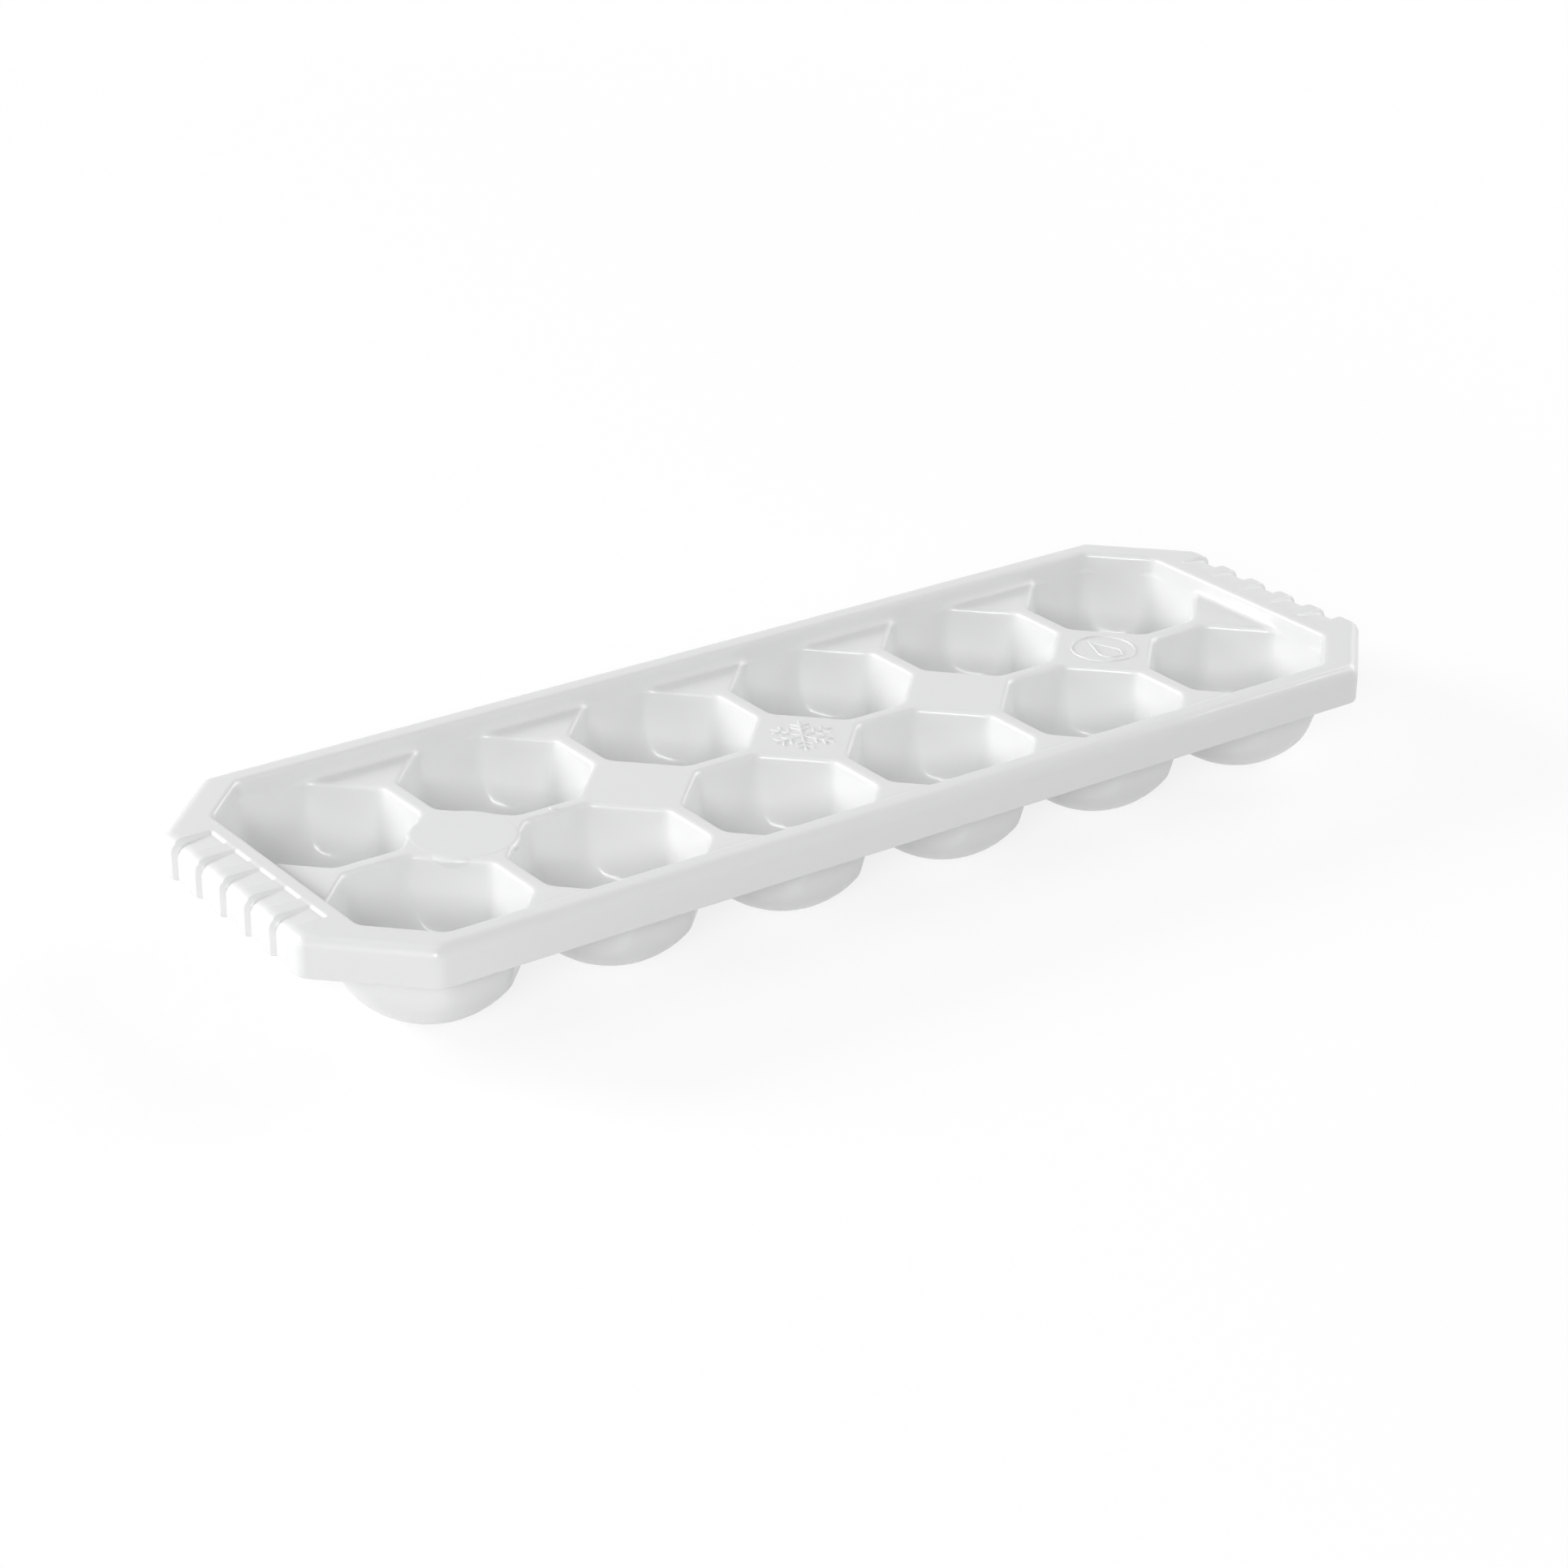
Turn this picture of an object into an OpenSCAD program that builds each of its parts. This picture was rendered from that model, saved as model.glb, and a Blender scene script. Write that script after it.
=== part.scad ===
// Ice cube tray: two rows of six eight-sided cups in one shell.
// The long side runs along X, the short side along Y, and the cups' feet stand on Z = 0.

/* [Cups] */
// Width of a cup's mouth between opposite flat sides
mouth_w = 39.2; // [34:0.2:46]
// Width of the web between the mouths of neighbouring cups
web_w = 3.8; // [2.8:0.1:8]
// How far each corner of a mouth is cut back along the flat sides
mouth_cut = 12; // [9:0.5:14]
// Wall thickness of the cups
cup_wall = 1.2; // [0.8:0.1:1.4]
// Lean of the cups' flat sides, in degrees
cup_draft = 4; // [2:0.5:6]
// How much the bowl's outer radius exceeds the reach of a cup's flat outer side
bowl_swell = 0.6; // [0.2:0.1:1.2]
// Depth of the bowl's centre below the deck
bowl_drop = 3.3; // [2:0.1:5]
// Angle above which the bowl runs on as a cone, in degrees
bowl_lean = 10; // [8:1:14]
// Radius of the flat under the bowl
bowl_flat_r = 8.1; // [6:0.1:10]
// Thickness of a cup's floor, with its foot
floor_t = 1.4; // [1:0.1:2.4]
// Height of the foot under each cup
foot_h = 0.4; // [0.2:0.1:0.8]
// How far the foot stays inside the flat above it
foot_inset = 0.6; // [0.2:0.1:2]

/* [Rim] */
// Width of the rim's top on the long sides
side_ledge_w = 6.4; // [5:0.1:12]
// Width of the rim's top on the two ends
end_ledge_w = 12.9; // [11:0.1:20]
// Width of the rim's top across the cut corners
corner_ledge_w = 8.3; // [6:0.1:9]
// Height of the skirt from its lower edge to the top of the rim
skirt_h = 8.5; // [7:0.5:12]
// Thickness of the rim's top and of its skirt
rim_wall = 1.6; // [1.2:0.1:2]
// Radius of the rim's outer top edge
rim_round = 2; // [0.5:0.1:3]

/* [Deck] */
// Depth of the deck below the top of the rim
deck_depth = 4; // [2.5:0.1:5]
// Thickness of the deck between the cups
deck_t = 1.4; // [1:0.1:2]

/* [End grips] */
// Grooves across each end
groove_count = 5; // [3:1:6]
// Width of a groove
groove_w = 6; // [4:0.1:7]
// Width of the rib between neighbouring grooves
groove_rib_w = 4; // [2:0.1:5]
// Depth of a groove, in the rim's top and in its skirt
groove_depth = 1.6; // [0.8:0.1:2]
// Width of the plain band between the grooves' inner ends and the rim's inner edge
groove_band_w = 3.9; // [3:0.1:6]

/* [Marks on the deck] */
// Gap between the raised round pad and the mouths of the cups round it
pad_gap = 0.2; // [0.1:0.1:4]
// Height of the raised round pad
pad_h = 0.6; // [0.2:0.1:1]
// Gap between the circle round a mark and the mouths of the cups round it
mark_gap = 3.6; // [2:0.1:5]
// Height of the marks above the deck
mark_h = 0.4; // [0.2:0.1:0.8]
// Width of the marks' lines
mark_line_w = 0.9; // [0.6:0.1:1.4]
// Radius of the small pip on the web between the rows
pip_r = 0.7; // [0.4:0.1:1]
// Height of the small pip
pip_h = 0.3; // [0.2:0.1:0.6]

/* [Hidden] */
$fn = 96;
COLUMNS = 6;
// Turn between neighbouring flat sides of a cup, and of the rim at a cut corner
CORNER_TURN = 45;
// Turn between neighbouring arms of the snowflake, and between an arm and its twigs
ARM_TURN = 60;
// Reach of a cutting shape beyond the surface that it cuts
CUT = 1;
// Share of the mark's radius at which the snowflake's twigs leave its arms
TWIG_AT = [0.42, 0.68];
// Length of a twig, as a share of the mark's radius
TWIG_LEN = 0.3;
// Radius of the drop's round end, as a share of the mark's radius
DROP_END = 0.56;

cup_pitch = mouth_w + web_w;
half_mouth = mouth_w / 2;
diag_mouth = (mouth_w - mouth_cut) / sqrt(2);
bowl_r = half_mouth + cup_wall + bowl_swell;
bowl_depth = sqrt(bowl_r * bowl_r - bowl_flat_r * bowl_flat_r);
deck_z = foot_h + bowl_depth + bowl_drop;
tray_h = deck_z + deck_depth;
bowl_z = deck_z - bowl_drop;
cup_top_z = deck_z - deck_t;
skirt_z = tray_h - skirt_h;

inner_x = (COLUMNS - 1) / 2 * cup_pitch + half_mouth;
inner_y = cup_pitch / 2 + half_mouth;
outer_x = inner_x + end_ledge_w;
outer_y = inner_y + side_ledge_w;
corner_face = (inner_x + inner_y - mouth_cut) / sqrt(2) + corner_ledge_w;
corner_cut = outer_x + outer_y - corner_face * sqrt(2);

groove_len = end_ledge_w - groove_band_w;
groove_pitch = groove_w + groove_rib_w;
groove_span = (groove_count - 1) * groove_pitch + groove_w;

island_r = cup_pitch / sqrt(2) - diag_mouth;
pad_r = island_r - pad_gap;
mark_r = island_r - mark_gap;
shell_white = [0.93, 0.94, 0.95];

function cup_x(column) = (column - (COLUMNS + 1) / 2) * cup_pitch;
function cup_y(row) = row * cup_pitch / 2;
function island_x(number) = (number - COLUMNS / 2) * cup_pitch;

// Outline of a rectangle with its four corners cut at 45 degrees
module cut_rectangle(half_x, half_y, cut) {
    polygon([
        [half_x, half_y - cut], [half_x - cut, half_y], [cut - half_x, half_y], [-half_x, half_y - cut],
        [-half_x, cut - half_y], [cut - half_x, -half_y], [half_x - cut, -half_y], [half_x, cut - half_y]
    ]);
}

// Bar along Y whose sides lean in towards the bottom
module leaning_bar(half_w, top_z, bottom_z) {
    low_w = half_w - (top_z - bottom_z) * tan(cup_draft);
    rotate([90, 0, 0])
        linear_extrude(2 * cup_pitch, center = true)
            polygon([[-low_w, bottom_z], [low_w, bottom_z], [half_w, top_z], [-half_w, top_z]]);
}

// Eight-sided body of a cup, grown outward by a wall
module cup_flats(wall, top_z) {
    rise = (top_z - cup_top_z) * tan(cup_draft);
    intersection_for (turn = [0, 1, 2, 3])
        rotate([0, 0, CORNER_TURN * turn])
            leaning_bar((turn % 2 == 0 ? half_mouth : diag_mouth) + wall + rise, top_z, 0);
}

// Round bowl with the cone above it, flat at the bottom
module cup_bowl(radius, bottom_z, top_z) {
    seam_z = bowl_z - radius * sin(bowl_lean);
    seam_r = radius * cos(bowl_lean);
    intersection() {
        translate([0, 0, bowl_z]) sphere(radius);
        translate([0, 0, bottom_z]) cylinder(h = seam_z - bottom_z, r = radius + CUT);
    }
    translate([0, 0, seam_z])
        cylinder(h = top_z - seam_z, r1 = seam_r, r2 = seam_r + (top_z - seam_z) * tan(bowl_lean));
}

module cup(column, row) {
    color(shell_white)
        translate([cup_x(column), cup_y(row), 0]) {
            difference() {
                intersection() {
                    cup_flats(cup_wall, cup_top_z);
                    cup_bowl(bowl_r, foot_h, cup_top_z);
                }
                intersection() {
                    cup_flats(0, cup_top_z + CUT);
                    cup_bowl(bowl_r - cup_wall, floor_t, cup_top_z + CUT);
                }
            }
            cylinder(h = (foot_h + floor_t) / 2, r = bowl_flat_r - foot_inset);
        }
}

// Mouth of one cup with the space beyond it, where the rim stands flush with the mouth
module mouth_and_beyond(column, row) {
    translate([cup_x(column), cup_y(row)]) {
        cut_rectangle(half_mouth, half_mouth, mouth_cut);
        side = half_mouth - mouth_cut;
        translate([-side, row > 0 ? 0 : -cup_pitch]) square([2 * side, cup_pitch]);
        if (column == 1 || column == COLUMNS) {
            out = column == 1 ? -cup_pitch : 0;
            translate([out, -side]) square([cup_pitch, 2 * side]);
            translate([out, row > 0 ? 0 : -cup_pitch]) square(cup_pitch);
        }
    }
}

module deck() {
    color(shell_white)
        translate([0, 0, cup_top_z])
            linear_extrude(deck_t)
                difference() {
                    cut_rectangle(inner_x, inner_y, mouth_cut);
                    for (column = [1:COLUMNS], row = [-1, 1]) mouth_and_beyond(column, row);
                }
}

// Filled section of the rim: X runs inward from the outer face, Y is the height
module rim_outline(width) {
    round_r = min(rim_round, skirt_h / 2);
    difference() {
        translate([0, skirt_z]) square([width, skirt_h]);
        translate([-CUT, tray_h - round_r]) square([round_r + CUT, round_r + CUT]);
        translate([width - cup_wall, skirt_z - CUT]) square([cup_wall + CUT, cup_top_z - skirt_z + CUT]);
    }
    intersection() {
        translate([round_r, tray_h - round_r]) circle(round_r);
        translate([0, tray_h - round_r]) square(round_r);
    }
}

// Channel under the rim's top, between the skirt and the wall that rises from the cups
module rim_channel(width) {
    translate([rim_wall, skirt_z - CUT])
        square([width - rim_wall - cup_wall, skirt_h - rim_wall + CUT]);
}

// Channel behind the grooves, where the shell follows their floor
module groove_channel(width) {
    set_in = rim_wall + groove_depth;
    intersection() {
        rim_channel(width);
        union() {
            translate([set_in, skirt_z - CUT]) square([width, skirt_h - set_in + CUT]);
            translate([groove_len + rim_wall, skirt_z - CUT]) square([width, skirt_h + CUT]);
        }
    }
}

// Section of the space that a groove takes from the rim
module groove_section() {
    floor_z = tray_h - groove_depth;
    round_r = min(rim_round, skirt_h / 2);
    difference() {
        translate([-CUT, skirt_z - CUT]) square([groove_len + CUT, skirt_h + 2 * CUT]);
        difference() {
            translate([groove_depth, skirt_z - 2 * CUT]) square([groove_len, floor_z - skirt_z + 2 * CUT]);
            translate([groove_depth - CUT, floor_z - round_r]) square(round_r + CUT);
        }
        translate([groove_depth + round_r, floor_z - round_r]) circle(round_r);
    }
}

// Section drawn in X and Z, carried along Y on both sides of the origin
module along_y(span) {
    rotate([90, 0, 0]) linear_extrude(span, center = true) children();
}

// Point inside an outer corner or outside an inner corner, on the line that halves its angle
function on_bisector(corner, reach, sign_x, sign_y, lean) =
    corner + reach / cos(CORNER_TURN / 2) * [sign_x * cos(lean), sign_y * sin(lean)];

// Plan of the joint between a side and a corner, from the outer edge to the inner edge
function side_joint() = let (reach = max(rim_wall, rim_round), lean = 90 - CORNER_TURN / 2) [
    [outer_x - corner_cut, outer_y],
    on_bisector([outer_x - corner_cut, outer_y], reach, -1, -1, lean),
    on_bisector([inner_x - mouth_cut, inner_y], cup_wall, 1, 1, lean),
    [inner_x - mouth_cut, inner_y]
];
function end_joint() = let (reach = max(rim_wall, rim_round), lean = CORNER_TURN / 2) [
    [outer_x, outer_y - corner_cut],
    on_bisector([outer_x, outer_y - corner_cut], reach, -1, -1, lean),
    on_bisector([inner_x, inner_y - mouth_cut], cup_wall, 1, 1, lean),
    [inner_x, inner_y - mouth_cut]
];
function flipped(points, sign_x, sign_y) = [for (point = points) [sign_x * point[0], sign_y * point[1]]];
function backward(points) = [for (index = [len(points) - 1:-1:0]) points[index]];

module plan_prism(points) {
    translate([0, 0, -CUT]) linear_extrude(tray_h + 2 * CUT) polygon(points);
}

// Back long side; the front one is its mirror image
module long_side() {
    intersection() {
        translate([0, outer_y, 0])
            rotate([0, 0, -90])
                along_y(2 * outer_x)
                    difference() {
                        rim_outline(side_ledge_w);
                        rim_channel(side_ledge_w);
                    }
        plan_prism(concat(side_joint(), backward(flipped(side_joint(), -1, 1))));
    }
}

// Left end with its grooves; the right one is its mirror image
module grip_end() {
    liner_span = groove_span + 2 * rim_wall;
    intersection() {
        translate([-outer_x, 0, 0])
            difference() {
                along_y(2 * outer_y) rim_outline(end_ledge_w);
                along_y(2 * outer_y + CUT) groove_channel(end_ledge_w);
                difference() {
                    along_y(2 * outer_y + CUT) rim_channel(end_ledge_w);
                    along_y(liner_span)
                        translate([0, skirt_z - 2 * CUT]) square([end_ledge_w, skirt_h + 2 * CUT]);
                }
                for (index = [0:groove_count - 1])
                    translate([0, index * groove_pitch - (groove_span - groove_w) / 2, 0])
                        along_y(groove_w) groove_section();
            }
        plan_prism(concat(flipped(end_joint(), -1, 1), backward(flipped(end_joint(), -1, -1))));
    }
}

// Back right corner; the other three are its mirror images
module rim_corner() {
    intersection() {
        rotate([0, 0, CORNER_TURN])
            translate([corner_face, 0, 0])
                mirror([1, 0, 0])
                    along_y(2 * outer_x)
                        difference() {
                            rim_outline(corner_ledge_w);
                            rim_channel(corner_ledge_w);
                        }
        plan_prism(concat(side_joint(), backward(end_joint())));
    }
}

module rim_back() {
    color(shell_white) long_side();
}

module rim_front() {
    color(shell_white) mirror([0, 1, 0]) long_side();
}

module grip_left() {
    color(shell_white) grip_end();
}

module grip_right() {
    color(shell_white) mirror([1, 0, 0]) grip_end();
}

module corner_back_right() {
    color(shell_white) rim_corner();
}

module corner_back_left() {
    color(shell_white) mirror([1, 0, 0]) rim_corner();
}

module corner_front_right() {
    color(shell_white) mirror([0, 1, 0]) rim_corner();
}

module corner_front_left() {
    color(shell_white) rotate([0, 0, 180]) rim_corner();
}

module round_pad() {
    color(shell_white) translate([island_x(1), 0, deck_z]) cylinder(h = pad_h, r = pad_r);
}

// Plain snowflake of three crossed bars with two pairs of twigs on each arm
module snowflake_mark() {
    color(shell_white)
        translate([island_x(3), 0, deck_z])
            linear_extrude(mark_h)
                for (turn = [0:ARM_TURN:359])
                    rotate(turn) {
                        translate([0, -mark_line_w / 2]) square([mark_r, mark_line_w]);
                        for (share = TWIG_AT, side = [-ARM_TURN, ARM_TURN])
                            translate([share * mark_r, 0])
                                rotate(side)
                                    translate([0, -mark_line_w / 2])
                                        square([TWIG_LEN * mark_r, mark_line_w]);
                    }
}

// Filled drop, grown inward by a line's width
module drop_shape(inset) {
    end_r = DROP_END * mark_r;
    tip_x = mark_r;
    end_x = end_r - mark_r;
    reach = tip_x - end_x;
    touch = acos(end_r / reach);
    round_r = end_r - inset;
    scale_down = round_r / end_r;
    translate([end_x, 0]) {
        circle(round_r);
        polygon([
            [reach * scale_down, 0],
            [round_r * cos(touch), round_r * sin(touch)],
            [round_r * cos(touch), -round_r * sin(touch)]
        ]);
    }
}

module drop_mark() {
    color(shell_white)
        translate([island_x(5), 0, deck_z])
            rotate([0, 0, 90])
                linear_extrude(mark_h)
                    difference() {
                        drop_shape(0);
                        drop_shape(mark_line_w);
                    }
}

module web_pip() {
    color(shell_white) translate([cup_x(2), 0, deck_z]) cylinder(h = pip_h, r = pip_r);
}

deck();
rim_front();
rim_back();
grip_left();
grip_right();
corner_front_left();
corner_front_right();
corner_back_left();
corner_back_right();
cup(1, -1);  // cup_front_1
cup(2, -1);  // cup_front_2
cup(3, -1);  // cup_front_3
cup(4, -1);  // cup_front_4
cup(5, -1);  // cup_front_5
cup(6, -1);  // cup_front_6
cup(1, 1);  // cup_back_1
cup(2, 1);  // cup_back_2
cup(3, 1);  // cup_back_3
cup(4, 1);  // cup_back_4
cup(5, 1);  // cup_back_5
cup(6, 1);  // cup_back_6
round_pad();
snowflake_mark();
drop_mark();
web_pip();
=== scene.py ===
"""Looks of the ice cube tray: one white moulding, shown as its cups, deck, rim, grips and raised marks."""

import functools
import math
from types import SimpleNamespace

import bmesh
import bpy
import numpy as np
from bpy.props import FloatProperty, FloatVectorProperty, IntProperty, PointerProperty
from mathutils import Matrix, Vector


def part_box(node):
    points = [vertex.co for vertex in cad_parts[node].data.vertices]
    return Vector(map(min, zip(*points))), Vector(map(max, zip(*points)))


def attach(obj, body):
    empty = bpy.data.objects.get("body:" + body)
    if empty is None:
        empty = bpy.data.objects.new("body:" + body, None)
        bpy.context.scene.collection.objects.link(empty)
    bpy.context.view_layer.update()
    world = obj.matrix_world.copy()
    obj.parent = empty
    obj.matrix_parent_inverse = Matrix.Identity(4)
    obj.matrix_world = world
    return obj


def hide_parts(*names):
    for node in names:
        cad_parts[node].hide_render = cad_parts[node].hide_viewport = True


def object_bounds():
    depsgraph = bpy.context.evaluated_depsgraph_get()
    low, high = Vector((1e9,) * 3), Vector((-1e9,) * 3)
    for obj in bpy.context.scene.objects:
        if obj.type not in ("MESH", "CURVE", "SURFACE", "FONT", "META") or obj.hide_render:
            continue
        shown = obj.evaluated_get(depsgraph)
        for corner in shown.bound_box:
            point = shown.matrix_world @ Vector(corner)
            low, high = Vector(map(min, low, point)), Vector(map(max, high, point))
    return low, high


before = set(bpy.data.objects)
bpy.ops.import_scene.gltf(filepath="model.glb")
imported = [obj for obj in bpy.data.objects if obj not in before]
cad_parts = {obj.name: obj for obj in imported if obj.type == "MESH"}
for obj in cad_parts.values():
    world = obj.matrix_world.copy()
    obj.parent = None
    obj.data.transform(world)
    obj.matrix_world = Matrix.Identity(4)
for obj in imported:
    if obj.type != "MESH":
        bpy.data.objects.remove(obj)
CAD_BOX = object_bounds()

bl_info = {
    "name": "Ice cube tray",
    "version": (1, 0, 0),
    "blender": (4, 5, 0),
    "location": "3D View > Sidebar > Ice cube tray",
    "description": "Builds the twelve-cup ice cube tray round its packed frame",
    "category": "Object",
}

MM = 0.001
ROOT2 = math.sqrt(2)
SIDES = 8
COLUMNS = 6
BODY, SLOT = "root", "shell"

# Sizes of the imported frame, in millimetres

DECK_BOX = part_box("deck")
CUP_PITCH = (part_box("cup_back_2")[0].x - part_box("cup_back_1")[0].x) / MM
TRAY_HALF_X = CAD_BOX[1].x / MM
TRAY_HALF_Y = CAD_BOX[1].y / MM
TRAY_TOP = CAD_BOX[1].z / MM
DECK_TOP = DECK_BOX[1].z / MM
DECK_UNDER = DECK_BOX[0].z / MM
SKIRT_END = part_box("rim_back")[0].z / MM
HALF_MOUTH = DECK_BOX[1].x / MM - (COLUMNS - 1) / 2 * CUP_PITCH

# Rows and stations of the faces and other small sizes, in millimetres

SPAN = 1.3  # width of the collar of faces round a mouth
TIP_RUN = SPAN / math.tan(math.pi / SIDES)  # run along a slanted side in which a collar gets its full width
MID_RUN = 4.9  # run to the station between the collar's tip and the outer edge of the deck's share
FLAT_RUNS = (0, 0.22, 0.5, 0.9, 1.5, 2.5)  # stations near the corners of a mouth, on its straight sides
SLANT_RUNS = (0, 0.25, 0.6, 1.05, 1.65, 2.4)  # the same on its slanted sides
TOES = (CUP_PITCH / 2, 17.0, 13.2)  # stations along the foot of the rim's wall, from a cup's middle
FOOT_ROWS = ((-5.9, 0), (-4.1, 0), (-2.5, 0), (-1.1, 0), (-0.3, 0), (-0.09, 0.2), (0, 0.675), (0.06, 1))
COLLAR_DROPS = (-1, -0.62, -0.32, -0.1)  # rows below the deck, as shares of the collar's depth
COLLAR_REACHES = (0.1, 0.35, 0.66, 1)  # rows on the deck, as shares of the collar's width
COLLAR_EASE = 3.0  # length in which the underside's collar gets narrower towards a straight side
SETTLED_ROWS = 3  # the collar's last rows, which leave the rounded corners step by step
WALL_STEPS = (-1, -0.62, -0.3, -0.09, 0.12, 0.42, 0.82, 1.3)  # rows before and up the foot of the rim's wall
WALL_MIDDLE = 2.2  # height of the row on the plain part of the rim's wall
BARREL_POWER = 1.5  # how the inward curve of the flat sides grows with the depth
BOWL_COSINE = 0.92  # of the angle between the flat sides and the bowl, and between the bowl and the floor
EDGE_TURN = 2.0  # depth in which the rim's wall and a cup's sides come to stand at half a right angle
HOLLOW_WIDER = 0.7  # how much further the hollow below the grooves reaches, as a share of the rim's wall
HOLLOW_EASE = 0.8  # width of the step at the hollow's inner end
CORNER_LEAST = 0.6  # least radius of the rim's bends
PROFILE_MIDDLE = 3.3  # height of the row on the plain part of the skirt
EDGE_MIDDLE = 0.04  # how far the middle of the skirt's lower edge lies below its sides
CORNER_MIDDLE = (32.5, 26)  # inset of the point that the stations of a corner are put in order round
WELD = 1e-3  # points nearer than this are one
WELD_SHIFT = 3.17e-5  # keeps round lengths away from the borders of the weld's cells
TINY = 1e-6  # longer than nothing


def length(name, millimetres, description):
    """Size in the panel, given here in millimetres."""
    return FloatProperty(name=name, description=description, default=millimetres * MM, unit="LENGTH",
                         precision=5)


def turn(name, degrees, description):
    """Angle in the panel, given here in degrees."""
    return FloatProperty(name=name, description=description, default=math.radians(degrees), subtype="ANGLE")


def share(name, value, description, top=1.0):
    """Plain number in the panel."""
    return FloatProperty(name=name, description=description, default=value, min=0, max=top)


def colour(name, value, description):
    """Linear colour in the panel."""
    return FloatVectorProperty(name=name, description=description, default=value, subtype="COLOR",
                               min=0, max=1)


class TraySizes(bpy.types.PropertyGroup):
    """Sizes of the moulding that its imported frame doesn't give."""

    mouth_cut: length("Mouth corner cut", 12, "How far each corner of a mouth is cut back")
    cup_draft: turn("Cup draft", 4, "Lean of the cups' flat sides")
    cup_wall: length("Cup wall", 1.2, "Thickness of the cups' walls")
    cup_barrel: length("Cup barrel", 1.4, "How far the flat sides curve inwards at the barrel depth")
    barrel_depth: length("Barrel depth", 12, "Depth below the deck at which the barrel is measured")
    bowl_radius: length("Bowl radius", 20.5, "Inner radius of a cup's round bowl")
    bowl_centre: length("Bowl centre height", 20.508, "Height of the bowl's centre above the feet")
    bowl_lean: turn("Bowl lean", 10, "Angle above which the bowl runs on as a cone")
    floor_height: length("Floor height", 1.4, "Height of a cup's inner floor above the feet")
    foot_height: length("Foot height", 0.4, "Height of the foot under a cup")
    foot_radius: length("Foot radius", 7.5, "Radius of the foot under a cup")
    lip_round: length("Lip rounding", 1.1, "Radius of the edge between the deck and a cup")
    toe_round: length("Toe rounding", 1.3, "Radius of the hollow where the rim rises from the deck")
    edge_round: length("Cup edge rounding", 3.8, "Radius of a cup's upright edges at the deck")
    edge_deep: length("Deep edge rounding", 5, "Radius of the upright edges further down")
    edge_depth: length("Edge depth", 6, "Depth below the deck at which the upright edges have that radius")
    bowl_blend: length("Bowl blend", 4, "Radius of the soft line between the flat sides and the bowl")
    rim_edge: length("Rim inner edge", 1.2, "Radius of the rim's inner top edge")
    rim_round: length("Rim outer edge", 2.7, "Radius of the rim's outer top edge")
    rim_wall: length("Rim wall", 1.6, "Thickness of the rim's top and skirt")
    skirt_edge: length("Skirt edge", 0.5, "Radius of the skirt's lower outer edge")
    skirt_reach: length("Skirt reach", 0.35, "How far the skirt runs on below the packed one")
    rim_corner_cut: length("Rim corner cut", 19.562, "How far the rim's outer corners are cut back")
    rim_corner_round: length("Rim corner rounding", 4, "Radius of the rim's upright outer edges")
    groove_width: length("Groove width", 6, "Width of a finger groove")
    groove_pitch: length("Groove pitch", 10, "Distance between neighbouring finger grooves")
    groove_depth: length("Groove depth", 1.25, "Depth of a finger groove at the rim's outer face")
    groove_length: length("Groove length", 9, "Reach of a finger groove from the rim's outer face")
    groove_start: length("Groove start", 0.6, "Depth of a finger groove at its inner end")
    groove_face: length("Groove face", 0.85, "Depth of a finger groove in the rim's outer face")
    groove_ease: length("Groove side run", 1.0, "Width over which a groove's side falls to its floor")
    land_step: length("Land step", 0.25, "How far the lands between the grooves lie below the rim's ledge")
    groove_count: IntProperty(name="Grooves", description="Number of finger grooves in each end", default=5)
    pad_radius: length("Pad radius", 11.8, "Radius of the round pad, which bulges into the mouths beside it")
    pad_height: length("Pad height", 0.05, "How far the round pad stands up from the deck")
    pad_round: length("Pad edge", 1.1, "Radius of the round pad's edge")
    pad_side: length("Pad side", 1.8, "How deep the pad's side runs down the mouths' walls")
    mark_line: length("Mark line", 0.55, "Width of the raised marks' lines")
    mark_round: length("Mark edge", 0.14, "Radius of the raised marks' edges")
    mark_height: length("Mark height", 0.3, "How far the raised marks stand up from the deck")
    ring_radius: length("Ring radius", 7.5, "Radius of the thin ring round the drop")
    ring_line: length("Ring line", 0.35, "Width of the thin ring's line")


class TrayFinish(bpy.types.PropertyGroup):
    """Colours and surface values of the plastic."""

    plastic: colour("Plastic", (0.9, 0.9, 0.9), "Colour of the white plastic")
    shade: colour("Flow tint", (0.885, 0.887, 0.89), "Colour that the plastic drifts to where it flowed last")
    roughness: share("Roughness", 0.36, "Roughness of the moulded surface")
    coat: share("Coat", 0.35, "Weight of the gloss over the surface")
    coat_roughness: share("Coat roughness", 0.08, "Roughness of the gloss")
    waviness: share("Waviness", 0.05, "Strength of the slow waves that shrinkage leaves")


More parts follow.
